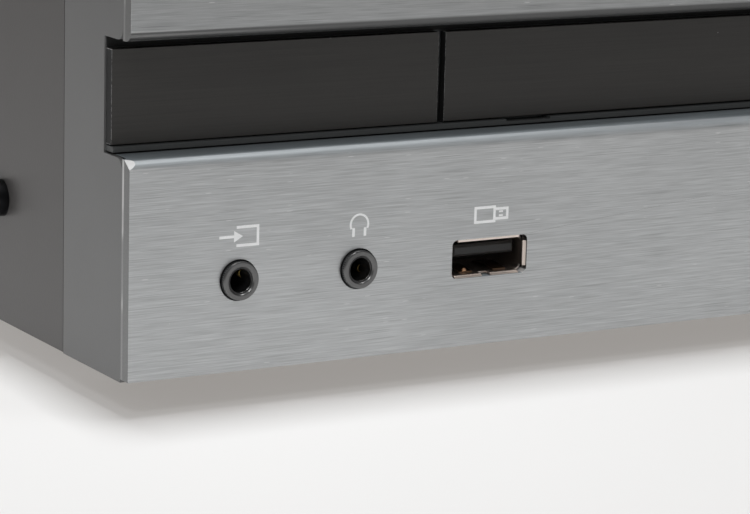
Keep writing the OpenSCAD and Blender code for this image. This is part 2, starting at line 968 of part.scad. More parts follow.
module usb_shell() color("#c9c4bd") difference() {
    leg_y = usb_y + usb_d / 2;
    union() {
        front_slab(usb_x, port_z, usb_w, usb_h, usb_r, usb_y, usb_y + usb_d);
        for (s = [-1, 1])
            side_block(usb_x, s, usb_w / 2 - usb_t, usb_w / 2, leg_y, leg_y + usb_leg_l,
                port_board_z, port_z);
    }
    front_slab(usb_x, port_z, usb_w - 2 * usb_t, usb_h - 2 * usb_t, usb_r - usb_t, 0, usb_y + usb_d + over);
}

module usb_tongue() color("#1d1d1d") {
    z1 = port_z + usb_h / 2 - usb_t - tongue_drop;
    y1 = usb_y + usb_d;
    y0 = y1 - tongue_back;
    snug = 2 * usb_t + 2 * run;
    hull() for (b = [0, tongue_bevel])
        block([usb_x - tongue_w / 2 + b, usb_y + tongue_sink + tongue_bevel - b, z1 - tongue_t + b],
            [usb_x + tongue_w / 2 - b, y0, z1 - b]);
    front_slab(usb_x, port_z, usb_w - snug, usb_h - snug, usb_r - usb_t, y0, y1 + over);
    block([usb_x - tongue_w / 2, y1 + run, port_board_z],
        [usb_x + tongue_w / 2, y1 + tongue_foot_l, port_z]);
}

module jack_board() color("#2f6b3c") block(
    [port_board_x0, y_wall + loose, port_board_z - board_t],
    [port_board_x1, bezel_d + over, port_board_z]
);

// Case

module top_cover() color("#4c4a47") difference() {
    case_run(cover_y, case_d) difference() {
        cover_outline(0);
        cover_outline(sheet_t);
        square([case_w - 2 * cover_x, 2 * over], center = true);
    }
    for (y = top_vent_ys, i = [0:top_vent_n - 1])
        level_slot(case_w / 2 + (i - (top_vent_n - 1) / 2) * vent_pitch, y, top_vent_l,
            cover_z - 2 * sheet_t, cover_z + over);
    for (y = side_screw_ys) rod_x(-over, case_w + over, y, side_screw_z, screw_r + fit);
}

module chassis() color("#8d8f90") difference() {
    union() {
        block([chassis_x, cover_y, z_bottom], [case_w - chassis_x, y_rear, z_floor]);
        for (s = [-1, 1])
            side_block(case_w / 2, s, case_w / 2 - chassis_x - sheet_t, case_w / 2 - chassis_x,
                bezel_d + lip_d + loose, y_rear, z_bottom, side_flange_h);
        for (x = rear_screw_xs - [1, 1] * rear_tab_w / 2)
            block([x, y_rear - sheet_t, z_bottom], [x + rear_tab_w, y_rear, z_floor + rear_tab_h]);
        for (p = post_points) rod_z(p[0], p[1], z_bottom, z_board, post_big_r);
    }
    for (x = foot_xs, y = foot_ys) rod_z(x, y, z_bottom - over, z_floor + over, peg_r + fit);
    for (x = leg_xs, y = leg_ys) rod_z(x, y, z_bottom - over, z_floor + over, screw_r + fit);
    for (y = side_screw_ys) rod_x(-over, case_w + over, y, side_screw_z, screw_r + run);
    for (x = rear_screw_xs) rod_y(x, y_rear - 2 * sheet_t, case_d, rear_screw_z, screw_r + run);
    for (i = [1:floor_vent_n])
        level_slot(main_x0 + i * vent_pitch, floor_vent_y, floor_vent_l, z_bottom - over, z_floor + over);
}

// Places of the posts under the two boards
post_insets = [1, -1] * post_inset;
post_points = [
    for (x = [main_x0, main_x1] + post_insets, y = [main_y, main_post_end] + post_insets) [x, y],
    for (x = [power_x0, power_x1] + post_insets, y = [power_y, power_end] + post_insets) [x, y]
];

module rear_panel() color("#4c4a47") difference() {
    y0 = y_rear - over;
    y1 = case_d + over;
    case_run(y_rear, case_d) cover_outline(sheet_t + fit);
    for (z = rca_zs) rod_y(rca_x, y0, y1, z, rca_r + rca_hole_gap);
    front_slab(speaker_x, speaker_mid_z, speaker_w - 2 * speaker_rim + 2 * fit,
        speaker_h - 2 * speaker_rim + 2 * fit, soft_r, y0, y1);
    front_slab(inlet_x, inlet_z, inlet_body[0] + 2 * fit, inlet_body[1] + 2 * fit, soft_r, y0, y1);
    rod_y(tuner_x, y0, y1, tuner_z, antenna_r + antenna_gap);
    for (x = rear_screw_xs) rod_y(x, y0, y1, rear_screw_z, screw_r + fit);
    for (z = rear_vent_zs, i = [0:rear_vent_n - 1]) {
        x = case_w / 2 + (i - (rear_vent_n - 1) / 2) * vent_pitch;
        front_slab(x, z, vent_w, rear_vent_h, vent_end_r, y0, y1);
    }
}

module feet() color("#232323") {
    for (x = foot_xs, y = foot_ys) {
        rod_z(x, y, z_bottom - foot_h, z_bottom, foot_d / 2);
        rod_z(x, y, z_bottom - over, z_floor + over, peg_r);
    }
}

module foot_pads() color("#3d3a37") {
    z1 = z_bottom - foot_h;
    for (x = foot_xs, y = foot_ys) rod_z(x, y, z1 - pad_h, z1, foot_d / 2 - pad_inset);
}

module case_screws() color("#2a2a2a") {
    for (y = side_screw_ys) {
        screw([cover_inset, y, side_screw_z], [0, 90, 0]);
        screw([case_w - cover_inset, y, side_screw_z], [0, -90, 0]);
    }
    for (x = rear_screw_xs) screw([x, case_d, rear_screw_z], [90, 0, 0]);
    for (x = boss_xs, z = boss_zs) screw([x, board_y + board_t, z], [90, 0, 0]);
    for (x = leg_xs, y = leg_ys) screw([x, y, z_bottom], [0, 0, 0]);
}

// Electronics

module main_board() color("#2f6b3c") {
    block([main_x0, main_y, z_board], [main_x1, main_end, z_board_top]);
    for (c = chips) translate([main_x0 + c[0], main_y + c[1], z_board_top]) cube(c[2]);
}

module heat_sink() color("#9a9ea1") {
    y1 = sink_y + sink_base_t;
    z1 = z_floor + sink_h;
    block([sink_x, sink_y, z_floor], [sink_x + sink_w, y1, z1]);
    for (i = [0:fin_n - 1]) {
        x = sink_x + i * (sink_w - fin_t) / (fin_n - 1);
        block([x, y1, z_floor], [x + fin_t, y1 + fin_l, z1]);
    }
}

module power_board() color("#8a6d3b") {
    block([power_x0, power_y, z_board], [power_x1, power_end, z_board_top]);
    for (i = [0:cap_n - 1])
        rod_z(power_mid, power_end - cap_rear - i * cap_pitch, z_board_top, z_board_top + cap_h, cap_r);
}

// Core plates above and below a wound coil
module transformer() color("#6b4a2c") {
    coil = [core_w - 2 * coil_inset, core_l - 2 * coil_inset, coil_h];
    translate([power_mid - core_w / 2, core_y, z_board_top]) {
        for (z = [0, core_h + coil_h]) translate([0, 0, z]) cube([core_w, core_l, core_h]);
        translate([coil_inset, coil_inset, core_h]) cube(coil);
    }
}

// Flat cable from the front board down to the power board
module ribbon_cable() color("#d6d6d0") {
    y0 = board_y + board_t;
    y1 = y0 + ribbon_run;
    y2 = power_y + post_inset;
    z0 = z_board_top;
    z1 = z0 + ribbon_lift;
    z2 = key_z;
    t = ribbon_t;
    side_run(power_mid - ribbon_w / 2, power_mid + ribbon_w / 2) polygon([
        [y0, z2], [y1, z2], [y1, z1], [y2, z1], [y2, z0],
        [y2 + t, z0], [y2 + t, z1 + t], [y1 + t, z1 + t], [y1 + t, z2 + t], [y0, z2 + t]
    ]);
}

module tuner_module() color("#b9bbbc") {
    half = tuner_w / 2;
    y1 = case_d + antenna_proud;
    block([tuner_x - half, main_end - tuner_l, z_board_top],
        [tuner_x + half, main_end, z_board_top + tuner_h]);
    difference() {
        rod_y(tuner_x, main_end, y1, tuner_z, antenna_r);
        rod_y(tuner_x, case_d + over, y1 + over, tuner_z, antenna_bore_r);
    }
}

// Rear terminals

module rca_block() color("#202020") difference() {
    y1 = case_d + rca_proud - loose;
    half = rca_w / 2;
    union() {
        block([rca_x - half, main_end - rca_seat, z_board_top],
            [rca_x + half, y_rear - fit, rca_zs[1] + half]);
        for (z = rca_zs) rod_y(rca_x, y_rear - over, y1, z, rca_r - rca_shell_t);
    }
    for (z = rca_zs) rod_y(rca_x, y1 - rca_bore_l, y1 + over, z, rca_bore_r);
}

module rca_shells() color("#c8b26a") {
    for (z = rca_zs) difference() {
        rod_y(rca_x, y_rear - fit, case_d + rca_proud, z, rca_r);
        rod_y(rca_x, 0, case_d + rca_proud + over, z, rca_r - rca_shell_t + run);
    }
}

function lever_x(i) = speaker_x + (i - (lever_n - 1) / 2) * lever_pitch;

module speaker_block() color("#1f1f1f") difference() {
    y1 = case_d + speaker_proud;
    inner_w = speaker_w - 2 * speaker_rim;
    inner_h = speaker_h - 2 * speaker_rim;
    half = lever_w / 2 + loose;
    pin = lever_w / 2 + lever_pin_l + loose;
    union() {
        front_slab(speaker_x, speaker_mid_z, speaker_w, speaker_h, soft_r, case_d, y1);
        front_slab(speaker_x, speaker_mid_z, inner_w, inner_h, soft_r, case_d - speaker_deep, case_d);
    }
    for (i = [0:lever_n - 1]) {
        x = lever_x(i);
        y0 = case_d + pocket_floor;
        block([x - half, y0, speaker_z + pocket_low], [x + half, y1 + over, speaker_z + pocket_high]);
        block([x - wire_w / 2, y0 - wire_l, wire_z], [x + wire_w / 2, y0 + over, wire_z + wire_w]);
        rod_x(x - pin, x + pin, lever_y, lever_z, lever_pin_r + run);
    }
}

module speaker_lever(i) color(i % 2 == 0 ? "#b3241f" : "#2a2a2a") {
    x = lever_x(i);
    half = lever_w / 2;
    block([x - half, lever_y - lever_heel, lever_z - lever_t / 2],
        [x + half, case_d + terminal_proud, lever_z + lever_t / 2]);
    rod_x(x - half - lever_pin_l, x + half + lever_pin_l, lever_y, lever_z, lever_pin_r);
}

module mains_inlet() color("#191919") difference() {
    y1 = case_d + inlet_rim_t;
    y0 = case_d - inlet_d;
    union() {
        front_slab(inlet_x, inlet_z, inlet_rim[0], inlet_rim[1], display_r, case_d, y1);
        front_slab(inlet_x, inlet_z, inlet_body[0], inlet_body[1], soft_r, y0 - inlet_back, case_d);
    }
    front_slab(inlet_x, inlet_z, inlet_w, inlet_h, inlet_h / 2 - fit, y0, y1 + over);
    for (s = [-1, 1])
        rod_y(inlet_x + s * pin_pitch / 2, y0 - inlet_back - over, case_d, inlet_z, pin_r + run);
}

module mains_pins() color("#c9c9c9") {
    y0 = case_d - inlet_d - inlet_back - pin_sink;
    for (s = [-1, 1]) rod_y(inlet_x + s * pin_pitch / 2, y0, case_d - pin_sink, inlet_z, pin_r);
}

// Tray loader

module loader_side(s) {
    far = loader_x + loader_wall;
    side_block(tray_x, s, loader_x, far, loader_y, loader_end, z_loader, z_bridge);
    z1 = tray_z - guide_gap;
    side_block(tray_x, s, loader_x - guide_w, loader_x, loader_y, loader_end, z1 - guide_t, z1);
    z0 = z_tray_top + loose;
    side_block(tray_x, s, loader_x - keeper_w, loader_x, loader_y, loader_y + keeper_l, z0, z0 + keeper_t);
}

module hinge_ear(s) {
    near = deck_w / 2 + deck_gap;
    z1 = hinge_z + 2 * hinge_r;
    side_block(tray_x, s, near, near + ear_w, hinge_y - ear_w, hinge_y + ear_w, z_loader, z1);
}

module loader_frame() color("#3a3d40") difference() {
    half = loader_x + loader_wall;
    open = deck_w / 2 + deck_gap;
    union() {
        block([tray_x - half, loader_y, z_loader], [tray_x + half, loader_end, z_gear_deck]);
        for (s = [-1, 1]) loader_side(s);
        for (s = [-1, 1]) hinge_ear(s);
        for (x = leg_xs, y = leg_ys) rod_z(x, y, z_floor, z_gear_deck, leg_r);
        rod_z(drive_x, drive_y, z_loader, tray_z - loose, post_r);
        rod_z(pulley_x, drive_y, z_loader, z_drive + gear_h, post_r);
    }
    block([tray_x - open, deck_y - 2 * deck_gap, z_loader - over],
        [tray_x + open, deck_end + deck_gap, z_gear_deck + over]);
    rod_z(motor_x, drive_y, z_loader - over, z_gear_deck + over, 2 * motor_shaft_r);
    rod_x(tray_x - half + loader_wall, tray_x + half - loader_wall, hinge_y, hinge_z, hinge_r + run);
    for (x = leg_xs, y = leg_ys) rod_z(x, y, z_floor - over, z_floor + screw_l, screw_r + run);
}

module disc_tray() color("#2c2c2c") {
    half = tray_w / 2;
    z1 = z_tray_top + over;
    slot = slot_w / 2;
    slot_y = disc_y - slot_lead;
    difference() {
        block([tray_x - half, tray_y, tray_z], [tray_x + half, tray_end, z_tray_top]);
        rod_z(tray_x, disc_y, z_disc, z1, disc_d / 2);
        rod_z(tray_x, disc_y, z_disc - small_recess, z1, small_disc_d / 2);
        rod_z(tray_x, slot_y, tray_z - over, z1, slot);
        block([tray_x - slot, slot_y, tray_z - over], [tray_x + slot, tray_end + over, z1]);
        for (s = [-1, 1]) rod_z(tray_x + s * scoop_x, scoop_y, z_disc, z1, scoop_r);
    }
    translate([rack_x, drive_y, tray_z - rack_h])
        rack(tray_y + rack_lead - drive_y, tray_end - drive_y, rack_bar, rack_h);
}

module loading_motor() color("#9fa2a4") motor_can(motor_x, drive_y, z_loader, motor_r, motor_h);

module motor_pulley() color("#d9d4c6") {
    translate([motor_x, drive_y, z_pulley]) grooved_pulley(motor_pulley_r);
    motor_shaft(motor_x, drive_y, z_loader, z_pulley + over);
}

module drive_belt() color("#1b1b1b") {
    a = pulley_r + run;
    b = motor_pulley_r + run;
    apart = motor_x - pulley_x;
    translate([pulley_x, drive_y, z_pulley + (pulley_h - belt_t) / 2]) linear_extrude(belt_t) difference() {
        belt_outline(a + belt_t, b + belt_t, apart);
        belt_outline(a, b, apart);
    }
}

module loading_pulley() color("#e6e2d6") difference() {
    hub_z = z_pulley + pulley_h;
    union() {
        translate([pulley_x, drive_y, z_pulley]) grooved_pulley(pulley_r);
        rod_z(pulley_x, drive_y, hub_z, z_drive, pulley_hub_r);
        translate([pulley_x, drive_y, z_drive]) rotate(180 / pinion_n) gear(pinion_n, gear_h);
    }
    rod_z(pulley_x, drive_y, z_gear_deck, tray_z, post_r + run);
}

module drive_gear() color("#e6e2d6") difference() {
    union() {
        rod_z(drive_x, drive_y, z_gear_deck + loose, z_drive, gear_hub_r);
        translate([drive_x, drive_y, z_drive]) gear(drive_n, gear_h);
        translate([drive_x, drive_y, z_drive + gear_h]) gear(pinion_n, rack_h);
    }
    rod_z(drive_x, drive_y, z_gear_deck, tray_z, post_r + run);
}

// Optical deck

module deck_trunnion(s) {
    far = deck_w / 2 + deck_gap + ear_w - over;
    rod_x(tray_x - (s < 0 ? far : over - deck_w / 2), tray_x + (s < 0 ? over - deck_w / 2 : far),
        hinge_y, hinge_z, hinge_r);
}

module deck_brackets(s) {
    x = tray_x + s * rod_side;
    for (y = bracket_ys)
        block([x - bracket_w / 2, y, z_deck], [x + bracket_w / 2, y + bracket_l, rod_height + rod_r + over]);
}

module optical_deck() color("#565a5d") difference() {
    half = sled_half_w + sled_gap;
    z0 = z_deck - over;
    z1 = z_deck + deck_t + over;
    union() {
        block([tray_x - deck_w / 2, deck_y, z_deck], [tray_x + deck_w / 2, deck_end, z_deck + deck_t]);
        for (s = [-1, 1]) deck_trunnion(s);
        for (s = [-1, 1]) deck_brackets(s);
    }
    block([tray_x - half, sled_y - sled_gap, z0], [tray_x + half, bracket_ys[1], z1]);
    rod_z(tray_x, disc_y, z0, z1, 3 * motor_shaft_r);
    rod_z(sled_gear_x, sled_gear_y, z0, z1, 3 * motor_shaft_r);
    for (s = [-1, 1]) rod_y(tray_x + s * rod_side, deck_y, deck_end, rod_height, rod_r + run);
}

module spindle_motor() color("#9fa2a4") motor_can(tray_x, disc_y, z_deck, spindle_r, spindle_h);

module turntable() color("#3c3f42") {
    motor_shaft(tray_x, disc_y, z_deck, z_table + over);
    rod_z(tray_x, disc_y, z_table, z_table + table_h, table_r);
    translate([tray_x, disc_y, z_table + table_h]) cylinder(h = hub_h, r1 = hub_r, r2 = hub_r - hub_taper);
}

module guide_rods() color("#c8cacb") {
    y1 = bracket_ys[1] + bracket_l;
    for (s = [-1, 1]) rod_y(tray_x + s * rod_side, bracket_ys[0], y1, rod_height, rod_r);
}

module pickup_sled() color("#7d8285") {
    z1 = sled_z + sled_h;
    y1 = sled_y + sled_l;
    lens_y = sled_y + sled_l / 2;
    lens_half = lens_block_w / 2;
    difference() {
        union() {
            block([tray_x - sled_half_w, sled_y, sled_z], [tray_x + sled_half_w, y1, z1]);
            block([tray_x - pickup_half_w, sled_y, sled_z - pickup_drop],
                [tray_x + pickup_half_w, y1, sled_z]);
        }
        for (s = [-1, 1]) rod_y(tray_x + s * rod_side, sled_y - over, y1 + over, rod_height, rod_r + run);
    }
    block([tray_x - lens_half, lens_y - lens_half, z1], [tray_x + lens_half, lens_y + lens_half, z1 + over]);
    rod_z(tray_x, lens_y, z1, z1 + 2 * over, lens_r);
    translate([sled_rack_x, sled_gear_y, sled_z]) mirror([1, 0, 0])
        rack(sled_y - sled_rack_lead - sled_gear_y, y1 - sled_gear_y, sled_rack_bar, sled_rack_h);
}

module sled_motor() color("#9fa2a4") motor_can(sled_gear_x, sled_gear_y, z_deck, sled_motor_r, sled_motor_h);

module sled_gear() color("#e6e2d6") {
    translate([sled_gear_x, sled_gear_y, sled_z]) gear(sled_n, sled_rack_h);
    motor_shaft(sled_gear_x, sled_gear_y, z_deck, sled_z + over);
}

// Clamp above the disc

module clamp_bridge() color("#8d8f90") difference() {
    half = loader_x + loader_wall;
    y0 = disc_y - bridge_l / 2;
    block([tray_x - half, y0, z_bridge], [tray_x + half, y0 + bridge_l, z_bridge + bridge_t]);
    rod_z(tray_x, disc_y, z_bridge - over, z_bridge + bridge_t + over, clamp_hole_r);
}

module clamp_puck() color("#46494c") {
    z0 = z_tray_top + clamp_gap;
    z1 = z_bridge - clamp_gap;
    z2 = z_bridge + bridge_t + loose;
    rod_z(tray_x, disc_y, z0, z1, clamp_r);
    rod_z(tray_x, disc_y, z1, z2, clamp_hole_r - 2 * loose);
    rod_z(tray_x, disc_y, z2, z2 + clamp_rim_h, clamp_rim_r);
}

module place() {
    translate([-case_w / 2, -mid_y, stand_h]) children();
}

place() front_bezel();
place() upper_fascia();
place() lower_fascia();
place() strip_frame();
place() strip_panel();
place() display_window();
place() display_module();
place() front_board();
place() power_button();
place() transport_button(0);  // source_button
place() transport_button(1);  // previous_button
place() transport_button(2);  // play_button
place() transport_button(3);  // next_button
place() transport_button(4);  // eject_button
place() volume_knob();
place() encoder_shaft();
place() encoder_body();
place() jack_board();
place() jack(0);  // line_in_jack
place() jack(1);  // headphone_jack
place() usb_shell();
place() usb_tongue();
place() top_cover();
place() chassis();
place() rear_panel();
place() feet();
place() foot_pads();
place() case_screws();
place() main_board();
place() heat_sink();
place() power_board();
place() transformer();
place() tuner_module();
place() rca_block();
place() rca_shells();
place() speaker_block();
place() speaker_lever(0);  // speaker_lever_1
place() speaker_lever(1);  // speaker_lever_2
place() speaker_lever(2);  // speaker_lever_3
place() speaker_lever(3);  // speaker_lever_4
place() mains_inlet();
place() mains_pins();
place() ribbon_cable();
place() loader_frame();
place() disc_tray();
place() tray_door();
place() loading_motor();
place() motor_pulley();
place() drive_belt();
place() loading_pulley();
place() drive_gear();
place() optical_deck();
place() spindle_motor();
place() turntable();
place() guide_rods();
place() pickup_sled();
place() sled_motor();
place() sled_gear();
place() clamp_bridge();
place() clamp_puck();
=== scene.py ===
"""The micro hi-fi system's looks: camera, studio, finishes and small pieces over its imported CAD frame."""
import math

import bmesh
import bpy
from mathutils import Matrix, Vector


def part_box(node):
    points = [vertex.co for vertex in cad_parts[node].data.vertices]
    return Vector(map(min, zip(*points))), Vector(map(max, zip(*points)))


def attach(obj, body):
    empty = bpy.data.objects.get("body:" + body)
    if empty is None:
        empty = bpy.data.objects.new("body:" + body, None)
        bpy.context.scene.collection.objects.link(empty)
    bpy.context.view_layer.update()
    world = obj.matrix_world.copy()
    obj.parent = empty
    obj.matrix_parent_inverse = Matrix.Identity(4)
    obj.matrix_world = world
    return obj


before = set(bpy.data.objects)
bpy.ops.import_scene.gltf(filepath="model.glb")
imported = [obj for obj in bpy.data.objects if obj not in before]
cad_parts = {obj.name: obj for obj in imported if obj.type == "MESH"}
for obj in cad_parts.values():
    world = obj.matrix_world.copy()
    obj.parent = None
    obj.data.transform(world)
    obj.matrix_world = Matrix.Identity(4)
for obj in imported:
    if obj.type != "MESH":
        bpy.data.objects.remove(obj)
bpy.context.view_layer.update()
scene = bpy.context.scene
scene.view_settings.view_transform = "Standard"

# Millimetres in metres, and the directions of the part's frame
mm = 0.001
right = Vector((1, 0, 0))
back = Vector((0, 1, 0))
up = Vector((0, 0, 1))


def middle_of(node):
    """The middle of a CAD node's box."""
    low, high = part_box(node)
    return (low + high) / 2


# Camera, from the photograph's viewing angle

image_width = 750
focal_pixels = 3119.8
sensor_width = 36
camera_place = Vector((-0.291677, -0.521555, 0.116062))
camera_azimuth = math.radians(-30.396)
camera_elevation = math.radians(11.872)
camera_roll = math.radians(1.483)


def add_camera():
    """A camera that looks as the photograph does, a little rolled."""
    lens = bpy.data.cameras.new("camera")
    lens.sensor_width = sensor_width
    lens.lens = focal_pixels * sensor_width / image_width
    lens.clip_start = 0.01
    camera = bpy.data.objects.new("camera", lens)
    scene.collection.objects.link(camera)
    level = Vector((math.sin(camera_azimuth), -math.cos(camera_azimuth), 0))
    behind = level * math.cos(camera_elevation) + up * math.sin(camera_elevation)
    camera.location = camera_place
    camera.rotation_euler = behind.to_track_quat("Z", "Y").to_euler()
    camera.rotation_euler.rotate_axis("Z", camera_roll)
    scene.camera = camera


# Shader tools

class Value:
    """A shader socket on which Python's operators add Math nodes."""

    def __init__(self, finish, socket):
        self.finish = finish
        self.socket = socket

    def other(self, name):
        """Another output of the same node."""
        return Value(self.finish, self.socket.node.outputs[name])

    def maths(self, operation, first, second):
        return self.finish.add("ShaderNodeMath", {"operation": operation}, {0: first, 1: second})

    def __add__(self, more):
        return self.maths("ADD", self, more)

    def __radd__(self, more):
        return self.maths("ADD", more, self)

    def __sub__(self, less):
        return self.maths("SUBTRACT", self, less)

    def __rsub__(self, whole):
        return self.maths("SUBTRACT", whole, self)

    def __mul__(self, times):
        return self.maths("MULTIPLY", self, times)

    def __rmul__(self, times):
        return self.maths("MULTIPLY", times, self)

    def __lt__(self, limit):
        return self.maths("LESS_THAN", self, limit)


class Finish:
    """One surface finish: a Principled shader, and nodes that vary it over the part in millimetres."""

    def __init__(self, name, **constants):
        self.material = bpy.data.materials.new(name)
        self.material.use_nodes = True
        self.tree = self.material.node_tree
        self.shader = self.tree.nodes["Principled BSDF"]
        for word, value in constants.items():
            socket = word.replace("_", " ").title().replace("Ior", "IOR")
            self.shader.inputs[socket].default_value = value
        sockets = {"Vector": self.add("ShaderNodeTexCoord", out="Object"), "Scale": 1 / mm}
        self.place = self.add("ShaderNodeVectorMath", {"operation": "SCALE"}, sockets)

    def add(self, kind, settings=None, sockets=None, out=0):
        """A node of that type: its settings first, then its sockets' values or links. Returns one output."""
        node = self.tree.nodes.new(kind)
        for name, value in (settings or {}).items():
            setattr(node, name, value)
        for name, value in (sockets or {}).items():
            self.join(node.inputs[name], value)
        return Value(self, node.outputs[out])

    def join(self, socket, value):
        """Links a socket to a value, or sets it."""
        if isinstance(value, Value):
            self.tree.links.new(value.socket, socket)
        else:
            socket.default_value = value

    def mix(self, share, first, second):
        """A colour between two others."""
        return self.add("ShaderNodeMix", {"data_type": "RGBA"}, {0: share, 6: first, 7: second}, out=2)

    def spread(self, value, low, high):
        """0 below low, 1 above high and smooth between them."""
        settings = {"interpolation_type": "SMOOTHSTEP"}
        return self.add("ShaderNodeMapRange", settings, {"Value": value, "From Min": low, "From Max": high})

    def stretched(self, per_mm, place=None):
        """Coordinates scaled to so many cells per millimetre along each axis."""
        sockets = {0: place or self.place, 1: per_mm}
        return self.add("ShaderNodeVectorMath", {"operation": "MULTIPLY"}, sockets)

    def noise(self, per_mm, detail=2.0, place=None):
        """Soft noise from 0 to 1."""
        sockets = {"Vector": self.stretched(per_mm, place), "Scale": 1.0, "Detail": detail}
        return self.add("ShaderNodeTexNoise", None, sockets)

    def specks(self, per_mm, size, share):
        """Spots in a share of the cells, as large as that part of a cell: 1 on a spot, else 0."""
        sockets = {"Vector": self.stretched(per_mm), "Scale": 1.0}
        near = self.add("ShaderNodeTexVoronoi", None, sockets)
        chance = self.add("ShaderNodeSeparateColor", None, {0: near.other("Color")})
        return (1 - self.spread(near, 0.6 * size, size)) * (chance < share)

    def facing(self):
        """The surface's direction in the part's frame: its X, with Y and Z as other outputs."""
        return self.add("ShaderNodeSeparateXYZ", None, {0: self.add("ShaderNodeTexCoord", out="Normal")})

    def lay(self, colour, roughness, height=None, depth=0.0):
        """Gives the shader its varying colour and roughness, and a relief that deep in millimetres."""
        self.join(self.shader.inputs["Base Color"], colour)
        self.join(self.shader.inputs["Roughness"], roughness)
        if height is not None:
            sockets = {"Height": height, "Distance": depth * mm, "Strength": 1.0}
            self.join(self.shader.inputs["Normal"], self.add("ShaderNodeBump", None, sockets))
        return self


def tone(red, green, blue):
    """A colour from its screen values, 0 to 255."""
    def linear(value):
        part = value / 255
        return part / 12.92 if part <= 0.04045 else ((part + 0.055) / 1.055) ** 2.4
    return (linear(red), linear(green), linear(blue), 1.0)


def grey(value):
    return tone(value, value, value)


def darker(colour, share):
    """The colour with that share of its light left."""
    return tuple(part * share for part in colour[:3]) + (1.0,)


# Finishes

def brushed_grain(plate, hairline, light):
    """A plate's colour along its brushing: bright and dull streaks, dark grooves, scratches and dust, all
    scaled by light; below 1 that paints shade over the whole plate.
    """
    streak = plate.noise((0.045, 3.2, 3.2))
    cloud = plate.noise((0.02, 0.02, 0.02))
    groove = plate.specks((0.08, 4.4, 4.4), 0.3, 0.22)
    scratch = plate.specks((0.3, 3.2, 3.2), 0.2, 0.05)
    dust = plate.specks((0.5, 0.5, 0.5), 0.05, 0.1)
    shine = plate.spread(0.5 * hairline + 0.25 * streak + 0.25 * cloud, 0.3, 0.7)
    colour = plate.mix(shine, darker(tone(177, 179, 180), light), darker(tone(217, 219, 220), light))
    colour = plate.mix(groove * 0.4, colour, darker(tone(136, 138, 139), light))
    colour = plate.mix(scratch * 0.6, colour, grey(240))
    return plate.mix(dust * 0.5, colour, grey(228))


def painted_side_highlight(plate):
    """A painted highlight line at one depth of a plate's side, just before the bezel, broken unevenly by
    noise: up to 1 on it, else 0.
    """
    depth = plate.add("ShaderNodeSeparateXYZ", None, {0: plate.place}, out="Y")
    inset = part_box("front_bezel")[0].y / mm - depth
    highlight_breaks = 0.2 + 0.8 * plate.spread(plate.noise((0.2, 0.2, 0.14)), 0.4, 0.65)
    return plate.spread(inset, 0.15, 0.35) * (1 - plate.spread(inset, 0.6, 0.85)) * highlight_breaks


def brushed_aluminium(name, light, ledge_painted_shade):
    """Plate metal brushed along X, with painted shade on its sides, ledge and lower bend, and painted
    highlights along its top edge, on its corner cuts and in a line down its sides.
    """
    plate = Finish(name, metallic=1.0, anisotropic=0.7, anisotropic_rotation=0.25)
    hairline = plate.noise((0.16, 6.5, 6.5), 4.0)
    sideways = plate.facing()
    upward = sideways.other("Z")
    side = plate.spread(sideways * sideways, 0.6, 0.9)
    under = plate.spread(0 - upward, 0.0, 0.3)
    above = plate.spread(upward, 0.12, 0.7)
    ledge = plate.spread(upward, 0.9, 0.99)
    corner = plate.spread(sideways * sideways, 0.02, 0.06) * (1 - side)
    colour = brushed_grain(plate, hairline, light)
    # Painted highlight, pale and bluish, on faces turned upward: the top fillet and ledge
    colour = plate.mix(0.6 * above, colour, tone(218, 226, 231))
    # Painted shade, blue-grey, on the flat ledge, as if under the strip's overhang
    colour = plate.mix(ledge_painted_shade * ledge * (0.5 + hairline), colour, tone(122, 132, 138))
    # Painted highlight, near white, on faces tipped a little sideways: the corner cuts and broken edges
    colour = plate.mix(corner, colour, grey(250))
    # Painted shade on the plate's sideways faces
    colour = plate.mix(0.75 * side, colour, grey(106))
    # Painted highlight, near white, in a broken line down the plate's sides
    colour = plate.mix(0.8 * side * painted_side_highlight(plate), colour, grey(240))
    # Painted shade on faces turned downward, such as the lower bend
    colour = plate.mix(0.9 * under, colour, grey(80))
    roughness = 0.33 + 0.15 * hairline + 0.14 * above + 0.1 * ledge - 0.14 * corner
    plate.join(plate.shader.inputs["Metallic"], 1 - 0.3 * (above + ledge + corner))
    return plate.lay(colour, roughness, hairline, 0.012)


def turned_aluminium():
    """Knob metal turned on a lathe: fine rings round its axis."""
    metal = Finish("turned_aluminium", metallic=1.0)
    middle = middle_of("volume_knob") / mm
    offset = metal.add("ShaderNodeVectorMath", {"operation": "SUBTRACT"}, {0: metal.place, 1: middle})
    flat = metal.stretched((1, 0, 1), offset)
    radius = metal.add("ShaderNodeVectorMath", {"operation": "LENGTH"}, {0: flat}, out="Value")
    depth = metal.add("ShaderNodeSeparateXYZ", None, {0: metal.place}, out="Y")
    turns = metal.add("ShaderNodeCombineXYZ", None, {"X": radius, "Y": depth})
    ring = metal.noise((3.2, 3.2, 0), 3.0, turns)
    cloud = metal.noise((0.05, 0.05, 0.05))
    colour = metal.mix(0.7 * ring + 0.3 * cloud, tone(158, 160, 162), tone(205, 207, 208))
    return metal.lay(colour, 0.24 + 0.16 * ring, ring, 0.02)


def paint(name, colour, roughness, grain, depth, metallic=0.0):
    """Sprayed paint: a fine orange peel, faint clouds and a little dust."""
    coat = Finish(name, metallic=metallic)
    peel = coat.noise((grain, grain, grain), 3.0)
    cloud = coat.noise((0.03, 0.03, 0.03))
    dust = coat.specks((0.35, 0.35, 0.35), 0.05, 0.1)
    shade = coat.mix(0.45 * peel + 0.55 * cloud, darker(colour, 0.84), darker(colour, 1.16))
    shade = coat.mix(dust * 0.4, shade, grey(190))
    return coat.lay(shade, roughness + 0.1 * peel, peel, depth)


